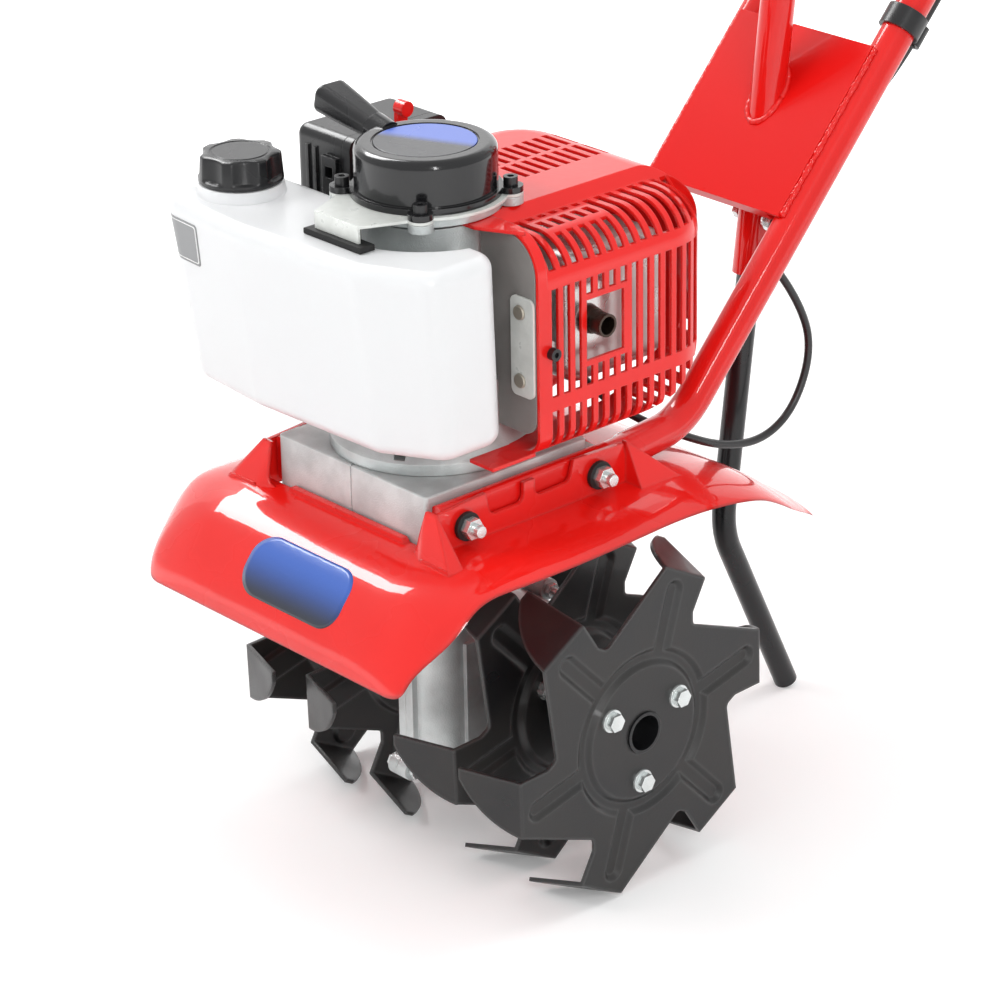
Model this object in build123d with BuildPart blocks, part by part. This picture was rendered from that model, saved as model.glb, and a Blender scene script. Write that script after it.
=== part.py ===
"""Garden tiller. Every piece is its own solid; all are drawn from the centre of the tine axle."""

import os
from math import cos, radians, sin

from build123d import *

os.makedirs("parts", exist_ok=True)

# Where the tine axle stands in the shared frame: front is -Y, up is +Z, the floor is z = 0.
AXLE_Y = -291.5
AXLE_Z = 120.45

# Shared fits
GAP = 0.3
RUN_FIT = 0.05

# Gearbox casting
CASE_SPLIT = 0.3
SEAM_WIDTH = 1.6
BLOCK_WIDTH = 153.0
BLOCK_FRONT = -131.0
BLOCK_REAR = 14.5
BLOCK_TOP = 193.6
BLOCK_FOOT = 152.0
ENGINE_Y = -58.0
LEG_R = 27.0
LEG_FOOT = -46.0
WHEEL_CASE_R = 55.0
WHEEL_CASE_HALF = 30.0
AXLE_BOSS_HALF = 36.0
SHAFT_BORE_R = 17.5
FRAME_BOLT_R = 4.0
FRAME_BOLT_V = 172.0
FRAME_BOLTS_Y = (-109.0, 11.0)
CASE_LUGS = ((-91.0, -48.5), (51.0, -36.0), (40.0, 48.0))
CASE_BOLT_R = 3.0

# Drive
WORM_R = 14.2
WHEEL_R = 43.2
WHEEL_TEETH = 36
DRIVE_SHAFT_R = 7.5
TINE_SHAFT_R = 12.5
TINE_SHAFT_HALF = 120.0

# Tines
TINE_T = 3.0
TINE_BLADES = 6
TINE_PHASE = 69.4
TINE_OUTER_X = 145.0
TINE_INNER_X = 78.0
TINE_NOTCH_R = 81.0
TINE_BEND_R = (119.0, 113.0)
TINE_SHOULDER_R = 89.0
FLAP_LENGTH = 48.0
FLAP_ANGLE = 73.0
BEAD_DEPTH = 3.5
HUB_R = 15.0
HUB_SOCKET_R = 12.8
HUB_FLANGE_R = 44.0
DISC_BOLT_R = 4.0
DISC_BOLT_CIRCLE = 36.6
DISC_BOLT_PHASE = 26.9

# Frame
TUBE_R = 12.5
TUBE_WALL = 2.0
FLAT_T = 8.4
FLAT_H = 32.0
TUBE_X = 65.0
TUBE_BEND_Y = 114.2
TUBE_SLOPE = 1.093
TUBE_KNEE_Y = 520.0
HANDLE_X = 235.0
HANDLE_Y = (606.0, 785.0)
TUBE_START = (73.5, 52.0)
FLAT_END = 27.0
HANDLE_V = 730.0
PLATE_T = 3.0
SLEEVE_TILT = 7.44
SLEEVE_Y = 249.4
SLEEVE_V = (231.0, 455.0)
STAKE_R = 9.0
STAKE_BEND = (222.8, 33.0)
STAKE_FOOT = (295.3, -116.5)

# Fender
FENDER_T = 3.0
FLANGE_X = 86.4
FLANGE_T = 3.2

# Engine
BELL_R = 70.0
DRUM_R = 39.0
HOUSING_R = 60.0
HOUSING_TOP = 250.0
CRANKCASE_R = 44.0
CASE_TOP = 367.4
CYLINDER_V = 280.0
MUFFLER_V = 288.0
COVER_X = (-102.0, 102.0)
COVER_Y = (-52.0, 122.0)
COVER_V = (205.0, 361.0)
COVER_T = 2.6
COVER_SCREW = (-41.0, 278.0)
COVER_CORNER = 48.0
COVER_ROLL = 30.0
COVER_LOW_ROLL = 16.0
PANEL_X = 44.0
PANEL_Y = (-44.0, 113.0)
PANEL_DROP = 8.0
SLOT_PITCH = 10.4
SLOT_WIDTH = 6.0
SLOTS = 14
STARTER_R = 48.0
STARTER_V = (370.0, 405.0)
LIP_X = 14.0
STARTER_SCREW = 39.5
PULLEY_R = 38.0
GRIP_BASE = (-57.0, -56.0, 402.0)
GRIP_RISE = 13.0
BRACKET_T = 2.0
TANK_V = (222.0, 353.0)
TANK_WALL = 2.5
CAP_AT = (-124.0, -116.0)
CAP_R = 28.5
CAP_V = (361.3, 379.0)


def seat(x, y, v):
    """A point given from the axle's centre."""
    return Vector(x, AXLE_Y + y, AXLE_Z + v)


def level(v):
    """Flat plane at a height over the axle; its sketch runs in X and Y."""
    return Plane(origin=seat(0, 0, v))


def side(x):
    """Upright plane across X; its sketch runs in Y and up."""
    return Plane(origin=seat(x, 0, 0), x_dir=(0, 1, 0), z_dir=(1, 0, 0))


def front(y):
    """Upright plane across Y, facing the front; its sketch runs in X and up."""
    return Plane(origin=seat(0, y, 0), x_dir=(1, 0, 0), z_dir=(0, -1, 0))


def polar(radius, degrees):
    """A point on the tine disc from its radius and angle."""
    return (radius * cos(radians(degrees)), radius * sin(radians(degrees)))


def cross_bolt(y, v, head_x, nut_x, radius):
    """One bolt across X with a hex head at one end and a loose nut at the other."""
    flats = radius * 1.9
    with BuildPart() as bolt:
        with BuildSketch(side(head_x)):
            with Locations((y, v)):
                Circle(radius)
        extrude(amount=nut_x - head_x + radius * 3.2)
        with BuildSketch(side(head_x)):
            with Locations((y, v)):
                RegularPolygon(flats, 6)
        extrude(amount=-radius * 1.3)
        with BuildSketch(side(nut_x)):
            with Locations((y, v)):
                RegularPolygon(flats, 6)
                Circle(radius + RUN_FIT, mode=Mode.SUBTRACT)
        extrude(amount=radius * 1.6)
    return bolt.part


# Gearbox halves


def gearbox_half(way):
    """One half of the cast case: block, leg, worm wheel housing and lugs."""
    with BuildPart() as half:
        with BuildSketch(level(BLOCK_FOOT)):
            with Locations((0, (BLOCK_FRONT + BLOCK_REAR) / 2)):
                RectangleRounded(BLOCK_WIDTH, BLOCK_REAR - BLOCK_FRONT, 3)
        extrude(amount=BLOCK_TOP - BLOCK_FOOT)
        chamfer(half.faces().sort_by(Axis.Z)[-1].edges(), 0.8)
        with BuildSketch(level(BLOCK_FOOT)):
            with Locations((0, BLOCK_REAR + 4)):
                Rectangle(BLOCK_WIDTH, 14)
        extrude(amount=BLOCK_TOP - BLOCK_FOOT - 10)
        with BuildSketch(level(BLOCK_FOOT - 0.01)):
            with Locations((0, (BLOCK_FRONT + BLOCK_REAR) / 2)):
                Rectangle(BLOCK_WIDTH - 12, BLOCK_REAR - BLOCK_FRONT - 12)
            with Locations((0, ENGINE_Y)):
                Circle(LEG_R + 1, mode=Mode.SUBTRACT)
            with Locations((0, BLOCK_FRONT + 22), (0, BLOCK_REAR - 10)):
                Rectangle(BLOCK_WIDTH, 22, mode=Mode.SUBTRACT)
            Rectangle(8, 400, mode=Mode.SUBTRACT)
        extrude(amount=BLOCK_TOP - BLOCK_FOOT - 8, mode=Mode.SUBTRACT)
        with BuildSketch(level(LEG_FOOT)):
            with Locations((0, ENGINE_Y)):
                Circle(LEG_R)
                Rectangle(14.6, 2 * LEG_R + 8)
        extrude(amount=BLOCK_FOOT - LEG_FOOT)
        with BuildSketch(side(0)):
            Circle(WHEEL_CASE_R)
            with Locations((ENGINE_Y / 2, 0)):
                Rectangle(-ENGINE_Y, 2 * WHEEL_CASE_R - 20)
        extrude(amount=WHEEL_CASE_HALF, both=True)
        with BuildSketch(side(0)):
            Circle(29)
        extrude(amount=AXLE_BOSS_HALF, both=True)
        with BuildSketch(side(0)):
            with Locations(*CASE_LUGS):
                Circle(8)
            with BuildLine():
                Polyline((-91, -40.5), (-70, -30), (-70, -46), (-88, -56), (-91, -40.5))
            make_face()
        extrude(amount=9, both=True)
        with BuildSketch(side(0)):
            with Locations(*CASE_LUGS):
                Circle(CASE_BOLT_R + 0.2)
            with Locations(*[(y, FRAME_BOLT_V) for y in FRAME_BOLTS_Y]):
                Circle(FRAME_BOLT_R + 0.2)
        extrude(amount=BLOCK_WIDTH, both=True, mode=Mode.SUBTRACT)
        with BuildSketch(level(LEG_FOOT + 6)):
            with Locations((0, ENGINE_Y)):
                Circle(SHAFT_BORE_R + 0.02)
        extrude(amount=BLOCK_TOP - LEG_FOOT, mode=Mode.SUBTRACT)
        with BuildSketch(side(0)):
            Circle(WHEEL_R + 4)
        extrude(amount=14, both=True, mode=Mode.SUBTRACT)
        with BuildSketch(side(0)):
            Circle(23.52)
        extrude(amount=28, both=True, mode=Mode.SUBTRACT)
        with BuildSketch(side(0)):
            Circle(TINE_SHAFT_R + 0.6)
        extrude(amount=AXLE_BOSS_HALF + 1, both=True, mode=Mode.SUBTRACT)
        with Locations(seat(0, BLOCK_FRONT, BLOCK_FOOT)):
            Box(SEAM_WIDTH, SEAM_WIDTH, 120, mode=Mode.SUBTRACT)
        with Locations(seat(0, 0, BLOCK_TOP)):
            Box(SEAM_WIDTH, 400, SEAM_WIDTH, mode=Mode.SUBTRACT)
        cut = side(way * CASE_SPLIT / 2)
        split(bisect_by=cut, keep=Keep.TOP if way > 0 else Keep.BOTTOM)
    return half


gearbox_left = gearbox_half(-1)
gearbox_right = gearbox_half(1)

with BuildPart() as gearbox_bolts:
    for lug_y, lug_v in CASE_LUGS:
        add(cross_bolt(lug_y, lug_v, -9.1, 9.1, CASE_BOLT_R))

# Drive inside the case

with BuildPart() as worm_shaft:
    with BuildSketch(level(LEG_FOOT + 7)):
        with Locations((0, ENGINE_Y)):
            Circle(DRIVE_SHAFT_R)
    extrude(amount=BLOCK_TOP + 13 - LEG_FOOT - 7)
    with BuildSketch(level(-24)):
        with Locations((0, ENGINE_Y)):
            Circle(WORM_R - 4)
    extrude(amount=48)
    for turn in range(7):
        with BuildSketch(Plane(origin=seat(0, ENGINE_Y, -21 + 7 * turn), z_dir=(0.09, 0, 1))):
            Circle(WORM_R)
        extrude(amount=1.6, both=True, taper=20)

with BuildPart() as worm_wheel:
    with BuildSketch(side(0)):
        Circle(WHEEL_R)
        with PolarLocations(WHEEL_R - 1.5, WHEEL_TEETH):
            Trapezoid(7.0, 3.4, 68, rotation=90)
        with PolarLocations(WHEEL_R - 2.0, WHEEL_TEETH, start_angle=180 / WHEEL_TEETH):
            SlotOverall(6.0, 3.2, mode=Mode.SUBTRACT)
        Circle(WHEEL_R + 2.0, mode=Mode.INTERSECT)
        Circle(TINE_SHAFT_R + RUN_FIT, mode=Mode.SUBTRACT)
    extrude(amount=9, both=True)
    with BuildSketch(side(0)):
        Circle(WHEEL_R)
    extrude(amount=9, both=True, mode=Mode.INTERSECT)
    with BuildSketch(side(0)):
        with PolarLocations(26, 6):
            Circle(5)
    extrude(amount=9, both=True, mode=Mode.SUBTRACT)

with BuildPart() as tine_shaft:
    with BuildSketch(side(0)):
        Circle(TINE_SHAFT_R)
    extrude(amount=TINE_SHAFT_HALF, both=True)
    chamfer(tine_shaft.edges().filter_by(GeomType.CIRCLE), 1.5)
    with BuildSketch(level(0)):
        with Locations((52, 0), (-52, 0)):
            Circle(4.1)
    extrude(amount=20, both=True, mode=Mode.SUBTRACT)

with BuildPart() as shaft_bearings:
    for bearing_v in (LEG_FOOT + 8, BLOCK_TOP - 14):
        with BuildSketch(level(bearing_v)):
            with Locations((0, ENGINE_Y)):
                Circle(SHAFT_BORE_R)
                Circle(DRIVE_SHAFT_R + RUN_FIT, mode=Mode.SUBTRACT)
        extrude(amount=11)
    for bearing_way in (-1, 1):
        with BuildSketch(side(bearing_way * 15)):
            Circle(23.5)
            Circle(TINE_SHAFT_R + RUN_FIT, mode=Mode.SUBTRACT)
        extrude(amount=bearing_way * 12)

# Tine discs, hubs and their bolts


def tine_disc():
    """One disc on its own centre: six blades, a pressed star bead, tips bent towards -X."""
    bolt_angles = [DISC_BOLT_PHASE + 120 * n for n in range(3)]
    with BuildPart() as disc:
        with BuildSketch(Plane.YZ):
            corners = []
            for blade in range(TINE_BLADES):
                mid = TINE_PHASE - 60 * blade
                corners.append(polar(TINE_NOTCH_R, mid + 45.2))
                corners.append(polar(TINE_BEND_R[0], mid + 10.4))
                corners.append(polar(TINE_BEND_R[1], mid - 10.4))
                corners.append(polar(TINE_SHOULDER_R, mid - 11.2))
            with BuildLine():
                Polyline(*corners, close=True)
            make_face()
            notches = [corners[4 * n] for n in range(TINE_BLADES)]
            near = [
                v
                for v in vertices()
                if min((v.X - p[0]) ** 2 + (v.Y - p[1]) ** 2 for p in notches) < 1
            ]
            fillet(near, 5)
        extrude(amount=TINE_T / 2, both=True)
        with BuildSketch(Plane.YZ.offset(-TINE_T / 2)):
            Circle(66)
            with PolarLocations(79, TINE_BLADES, start_angle=TINE_PHASE + 4):
                SlotOverall(66, 23)
            Circle(46, mode=Mode.SUBTRACT)
        extrude(amount=-BEAD_DEPTH, taper=40)
        with BuildSketch(Plane.YZ.offset(TINE_T / 2)):
            Circle(62)
            with PolarLocations(79, TINE_BLADES, start_angle=TINE_PHASE + 4):
                SlotOverall(62, 17)
            Circle(48.5, mode=Mode.SUBTRACT)
        extrude(amount=-BEAD_DEPTH, taper=50, mode=Mode.SUBTRACT)
        for blade in range(TINE_BLADES):
            mid = TINE_PHASE - 60 * blade
            start = Vector(0, *polar(TINE_BEND_R[1], mid - 10.4))
            stop = Vector(0, *polar(TINE_BEND_R[0], mid + 10.4))
            along = (stop - start).normalized()
            away = Vector(0, along.Z, -along.Y)
            if away.dot(start) < 0:
                away = away * -1
            lean = away * cos(radians(FLAP_ANGLE)) + Vector(-1, 0, 0) * sin(radians(FLAP_ANGLE))
            width = (stop - start).length
            with BuildSketch(Plane(origin=start, x_dir=along, z_dir=along.cross(lean))):
                with BuildLine():
                    Polyline((width, 0), (0, 0), (0, FLAP_LENGTH), (8, FLAP_LENGTH))
                    ThreePointArc((8, FLAP_LENGTH), (0.72 * width, 0.6 * FLAP_LENGTH), (width, 0))
                make_face()
            extrude(amount=TINE_T / 2, both=True)
            with BuildSketch(Plane(origin=start, z_dir=along)):
                Circle(TINE_T / 2)
            extrude(amount=width)
        with BuildSketch(Plane.YZ):
            Circle(HUB_R + 0.1)
            with Locations(*[polar(DISC_BOLT_CIRCLE, a) for a in bolt_angles]):
                Circle(DISC_BOLT_R + 0.2)
        extrude(amount=20, both=True, mode=Mode.SUBTRACT)
    return disc.part


tine_blank = tine_disc()
tine_mirrored = mirror(tine_blank, about=Plane.YZ)

with BuildPart() as tine_right_outer:
    add(tine_blank.moved(Location(seat(TINE_OUTER_X, 0, 0))))
with BuildPart() as tine_right_inner:
    add(tine_blank.moved(Location(seat(TINE_INNER_X, 0, 0))))
with BuildPart() as tine_left_outer:
    add(tine_mirrored.moved(Location(seat(-TINE_OUTER_X, 0, 0))))
with BuildPart() as tine_left_inner:
    add(tine_mirrored.moved(Location(seat(-TINE_INNER_X, 0, 0))))


def tine_hub(way):
    """Hub tube with a bolting flange behind each disc."""
    with BuildPart() as hub:
        with BuildSketch(side(way * (AXLE_BOSS_HALF + 2))):
            Circle(HUB_R)
        extrude(amount=way * (TINE_OUTER_X + 3 - AXLE_BOSS_HALF - 2))
        for disc_x in (TINE_INNER_X, TINE_OUTER_X):
            with BuildSketch(side(way * (disc_x - TINE_T / 2 - GAP))):
                Circle(HUB_FLANGE_R)
            extrude(amount=-way * 4)
        with BuildSketch(side(0)):
            Circle(TINE_SHAFT_R + RUN_FIT)
            with Locations(*[polar(DISC_BOLT_CIRCLE, DISC_BOLT_PHASE + 120 * n) for n in range(3)]):
                Circle(DISC_BOLT_R + 0.2)
        extrude(amount=way * 200, mode=Mode.SUBTRACT)
        with BuildSketch(side(way * (TINE_SHAFT_HALF + 0.5))):
            Circle(HUB_SOCKET_R)
        extrude(amount=way * 60, mode=Mode.SUBTRACT)
        with BuildSketch(level(0)):
            with Locations((way * 52, 0)):
                Circle(4.1)
        extrude(amount=20, both=True, mode=Mode.SUBTRACT)
    return hub


tine_hub_right = tine_hub(1)
tine_hub_left = tine_hub(-1)


def disc_bolt(face_x, way, y, v):
    """A flange bolt through disc and hub flange with its nut; the head is on the face_x side."""
    with BuildPart() as bolt:
        with BuildSketch(side(face_x)):
            with Locations((y, v)):
                Circle(8.5)
        extrude(amount=way * 1.6, taper=12)
        with BuildSketch(side(face_x)):
            with Locations((y, v)):
                RegularPolygon(6.6, 6)
        extrude(amount=way * 6.5)
        with BuildSketch(side(face_x)):
            with Locations((y, v)):
                Circle(DISC_BOLT_R)
        extrude(amount=-way * 18.5)
        with BuildSketch(side(face_x - way * 7.7)):
            with Locations((y, v)):
                RegularPolygon(7.2, 6)
                Circle(DISC_BOLT_R + RUN_FIT, mode=Mode.SUBTRACT)
        extrude(amount=-way * 6.5)
    return bolt.part


with BuildPart() as tine_bolts:
    for bolt_way in (-1, 1):
        for count in range(3):
            spot = polar(DISC_BOLT_CIRCLE, DISC_BOLT_PHASE + 120 * count)
            add(disc_bolt(bolt_way * (TINE_OUTER_X + TINE_T / 2 + 0.1), bolt_way, *spot))
            add(disc_bolt(bolt_way * (TINE_INNER_X - TINE_T / 2 - 4.5), -bolt_way, *spot))

with BuildPart() as hub_pins:
    for pin_x in (-52, 52):
        with BuildSketch(level(-HUB_R - 6)):
            with Locations((pin_x, 0)):
                Circle(4)
        extrude(amount=2 * HUB_R + 7)
        with BuildSketch(level(HUB_R + 0.6)):
            with Locations((pin_x, 0)):
                Circle(6.5)
        extrude(amount=4)

# Clutch

with BuildPart() as clutch_housing:
    with BuildSketch(Plane(origin=seat(0, ENGINE_Y, 0), x_dir=(1, 0, 0), z_dir=(0, -1, 0))):
        with BuildLine():
            Polyline(
                (DRUM_R + 4, BLOCK_TOP + GAP),
                (BELL_R, BLOCK_TOP + GAP),
                (BELL_R, BLOCK_TOP + 8),
                (BELL_R - 4, BLOCK_TOP + 14),
                (HOUSING_R, BLOCK_TOP + 23),
                (HOUSING_R, HOUSING_TOP),
                (20, HOUSING_TOP),
                (20, HOUSING_TOP - 4),
                (HOUSING_R - 6, HOUSING_TOP - 4),
                (HOUSING_R - 6, BLOCK_TOP + 33),
                (DRUM_R + 4, BLOCK_TOP + 33),
                close=True,
            )
        make_face()
    revolve(axis=Axis(seat(0, ENGINE_Y, 0), (0, 0, 1)))
    with BuildSketch(level(BLOCK_TOP + 10)):
        for slot_angle in (-60, 30, 120, 210):
            with Locations((62 * cos(radians(slot_angle)), ENGINE_Y + 62 * sin(radians(slot_angle)))):
                SlotOverall(34, 8, rotation=slot_angle)
    extrude(amount=5, mode=Mode.SUBTRACT)

with BuildPart() as clutch_drum:
    with BuildSketch(level(BLOCK_TOP + 4)):
        with Locations((0, ENGINE_Y)):
            Circle(DRUM_R + 2.5)
    extrude(amount=27)
    with BuildSketch(level(BLOCK_TOP + 7)):
        with Locations((0, ENGINE_Y)):
            Circle(DRUM_R)
    extrude(amount=30, mode=Mode.SUBTRACT)
    with BuildSketch(level(BLOCK_TOP + 4)):
        with Locations((0, ENGINE_Y)):
            Circle(12)
    extrude(amount=9)
    with BuildSketch(level(BLOCK_TOP)):
        with Locations((0, ENGINE_Y)):
            Circle(DRIVE_SHAFT_R + RUN_FIT)
    extrude(amount=30, mode=Mode.SUBTRACT)
    with BuildSketch(level(BLOCK_TOP)):
        with Locations((0, ENGINE_Y)):
            with PolarLocations(26, 6):
                Circle(6)
    extrude(amount=10, mode=Mode.SUBTRACT)

with BuildPart() as clutch_shoes:
    with BuildSketch(level(BLOCK_TOP + 16)):
        with Locations((0, ENGINE_Y)):
            Circle(DRUM_R - 1.2)
            Rectangle(3, 100, mode=Mode.SUBTRACT)
            Circle(9 + RUN_FIT, mode=Mode.SUBTRACT)
            with Locations((-24, 0), (24, 0)):
                Circle(6, mode=Mode.SUBTRACT)
    extrude(amount=13)

# Engine

with BuildPart() as crankcase:
    with BuildSketch(level(HOUSING_TOP + GAP)):
        with Locations((0, ENGINE_Y)):
            Circle(CRANKCASE_R)
    extrude(amount=CASE_TOP - HOUSING_TOP - GAP)
    with BuildSketch(front(8)):
        with Locations((0, CYLINDER_V)):
            RectangleRounded(78, 58, 8)
    extrude(amount=8 - ENGINE_Y)
    with BuildSketch(level(COVER_V[1] + 2 * GAP)):
        with Locations((0, ENGINE_Y)):
            Circle(STARTER_R + 3)
            with GridLocations(2 * STARTER_SCREW, 2 * STARTER_SCREW, 2, 2):
                Circle(8.5)
    extrude(amount=CASE_TOP - COVER_V[1] - 2 * GAP)
    with BuildSketch(level(COVER_V[1] - 8)):
        with Locations((0, ENGINE_Y)):
            with GridLocations(2 * STARTER_SCREW, 2 * STARTER_SCREW, 2, 2):
                Circle(2.7)
    extrude(amount=20, mode=Mode.SUBTRACT)
    with BuildSketch(level(COVER_V[1] + 2 * GAP)):
        with Locations((LIP_X - 2 + 40, ENGINE_Y)):
            Rectangle(80, 140)
    extrude(amount=-COVER_T - 4 * GAP, mode=Mode.SUBTRACT)
    with BuildSketch(level(CYLINDER_V - 18)):
        with Locations((0, ENGINE_Y)):
            Circle(CRANKCASE_R - 8)
    extrude(amount=36, mode=Mode.SUBTRACT)
    with BuildSketch(side(CRANKCASE_R - 8)):
        with Locations(COVER_SCREW):
            RectangleRounded(12, 14, 3)
    extrude(amount=COVER_X[1] - COVER_T - GAP - CRANKCASE_R + 8)
    with BuildSketch(side(COVER_X[1])):
        with Locations(COVER_SCREW):
            Circle(2.6)
    extrude(amount=-20, mode=Mode.SUBTRACT)
    with BuildSketch(level(HOUSING_TOP - 1)):
        with Locations((0, ENGINE_Y)):
            Circle(9 + 2 * RUN_FIT)
    extrude(amount=130, mode=Mode.SUBTRACT)
    with BuildSketch(front(9)):
        with Locations((0, CYLINDER_V)):
            Circle(22)
    extrude(amount=9 - ENGINE_Y, mode=Mode.SUBTRACT)

with BuildPart() as crankshaft:
    with BuildSketch(level(BLOCK_TOP + 15.4)):
        with Locations((0, ENGINE_Y)):
            Circle(9)
    extrude(amount=CASE_TOP - 5.4 - BLOCK_TOP - 15.4)
    for web_v in (CYLINDER_V - 15, CYLINDER_V + 6):
        with BuildSketch(level(web_v)):
            with Locations((0, ENGINE_Y)):
                Circle(34)
        extrude(amount=9)
    with BuildSketch(level(CYLINDER_V - 8)):
        with Locations((0, ENGINE_Y + 17)):
            Circle(7)
    extrude(amount=16)

with BuildPart() as flywheel:
    with BuildSketch(level(HOUSING_TOP - 21)):
        with Locations((0, ENGINE_Y)):
            Circle(50)
    extrude(amount=6)
    with BuildSketch(level(HOUSING_TOP - 15)):
        with Locations((0, ENGINE_Y)):
            Circle(17)
            with PolarLocations(41, 16):
                SlotOverall(17, 3.2, rotation=28)
    extrude(amount=10)
    with BuildSketch(level(HOUSING_TOP - 30)):
        with Locations((0, ENGINE_Y)):
            Circle(9 + RUN_FIT)
    extrude(amount=60, mode=Mode.SUBTRACT)

with BuildPart() as cylinder:
    with BuildSketch(front(8 + GAP)):
        with Locations((0, CYLINDER_V)):
            RectangleRounded(70, 60, 6)
    extrude(amount=-6)
    with BuildSketch(front(8 + GAP)):
        with Locations((0, CYLINDER_V)):
            Circle(29)
    extrude(amount=-66)
    for fin in range(9):
        with BuildSketch(front(19 + 6.4 * fin)):
            with Locations((0, CYLINDER_V)):
                RectangleRounded(86, 84, 14)
        extrude(amount=-2.2)
    with BuildSketch(front(8)):
        with Locations((0, CYLINDER_V)):
            Circle(22)
    extrude(amount=-58, mode=Mode.SUBTRACT)
    with BuildSketch(front(60)):
        with Locations((0, CYLINDER_V)):
            Circle(7 + RUN_FIT)
    extrude(amount=-40, mode=Mode.SUBTRACT)
    with BuildSketch(side(26)):
        with Locations((40, CYLINDER_V)):
            RectangleRounded(34, 28, 5)
    extrude(amount=19.6)
    with BuildSketch(side(-26)):
        with Locations((32, CYLINDER_V)):
            RectangleRounded(34, 30, 5)
    extrude(amount=-19.6)
    with BuildSketch(side(0)):
        with Locations((40, CYLINDER_V)):
            Circle(9)
    extrude(amount=60, mode=Mode.SUBTRACT)
    with BuildSketch(side(0)):
        with Locations((32, CYLINDER_V)):
            Circle(9)
    extrude(amount=-60, mode=Mode.SUBTRACT)

with BuildPart() as spark_plug:
    with BuildSketch(side(0)):
        with BuildLine():
            Polyline(
                (62, CYLINDER_V),
                (62, CYLINDER_V + 6.8),
                (74.6, CYLINDER_V + 6.8),
                (74.6, CYLINDER_V + 11),
                (82, CYLINDER_V + 11),
                (82, CYLINDER_V + 6),
                (100, CYLINDER_V + 4.5),
                (100, CYLINDER_V + 3),
                (108, CYLINDER_V + 3),
                (108, CYLINDER_V),
                close=True,
            )
        make_face()
    revolve(axis=Axis(seat(0, 0, CYLINDER_V), (0, 1, 0)))

with BuildPart() as muffler:
    with BuildSketch(side(46)):
        with Locations((31, MUFFLER_V)):
            RectangleRounded(96, 92, 16)
    extrude(amount=44)
    fillet(muffler.faces().sort_by(Axis.X)[-1].edges(), 8)
    with BuildSketch(side(52)):
        with Locations((31, MUFFLER_V)):
            RectangleRounded(84, 80, 10)
    extrude(amount=32, mode=Mode.SUBTRACT)
    with BuildSketch(side(86)):
        with Locations((2, MUFFLER_V)):
            Circle(11)
    extrude(amount=12, taper=10)
    with BuildSketch(side(86)):
        with Locations((2, MUFFLER_V)):
            Circle(8)
    extrude(amount=24.5)
    with BuildSketch(side(80)):
        with Locations((2, MUFFLER_V)):
            Circle(6.2)
    extrude(amount=40, mode=Mode.SUBTRACT)
    with BuildSketch(side(40)):
        with Locations((40, CYLINDER_V)):
            Circle(9)
    extrude(amount=14, mode=Mode.SUBTRACT)


def cover_form(inset, drop):
    """The cover's closed form, set in by the wall and with its top lowered by a drop."""
    x0, x1 = COVER_X[0] + inset, COVER_X[1] - inset
    y0, y1 = COVER_Y[0] - 4 * inset, COVER_Y[1] - inset
    v0, v1 = COVER_V[0] + inset, COVER_V[1] - inset - drop
    with BuildPart() as form:
        with BuildSketch(level(v0)):
            with Locations(((x0 + x1) / 2, (y0 + y1) / 2)):
                Rectangle(x1 - x0, y1 - y0)
            fillet(vertices().sort_by(Axis.Y)[-2:], COVER_CORNER - inset)
        extrude(amount=v1 - v0)
        for place, roll in ((-1, COVER_ROLL), (0, COVER_LOW_ROLL)):
            rims = form.faces().sort_by(Axis.Z)[place].edges()
            rims = rims.filter_by(lambda e: e.center().Y > seat(0, y0 + 1, 0).Y)
            fillet(rims, roll - inset)
        with BuildSketch(side(0)):
            with BuildLine():
                ThreePointArc((25, v0), (90 - 0.6 * inset, 228 + 0.8 * inset), (y1, 280))
                Polyline((y1, 280), (y1, v1 + 1), (y0 - 1, v1 + 1), (y0 - 1, v0), (25, v0))
            make_face()
        extrude(amount=200, both=True, mode=Mode.INTERSECT)
    return form.part


def cover_step(inset):
    """The cover's form with its slotted shoulder sunk behind a sloped step."""
    back = 1.42 * inset
    with BuildPart() as sunk:
        with BuildSketch(front(PANEL_Y[0] - inset)):
            with BuildLine():
                Polyline(
                    (PANEL_X - 1 - back, COVER_V[1] + 1),
                    (PANEL_X + 19 - back, COVER_V[1] - 19),
                    (COVER_X[1] + 20, COVER_V[1] - 60),
                    (COVER_X[1] + 20, COVER_V[1] + 20),
                    (PANEL_X - 1 - back, COVER_V[1] + 20),
                    close=True,
                )
            make_face()
        extrude(amount=-(PANEL_Y[1] - PANEL_Y[0] + 2 * inset))
        add(cover_form(inset, PANEL_DROP), mode=Mode.SUBTRACT)
    with BuildPart() as form:
        add(cover_form(inset, 0))
        add(sunk.part, mode=Mode.SUBTRACT)
    return form.part


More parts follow.
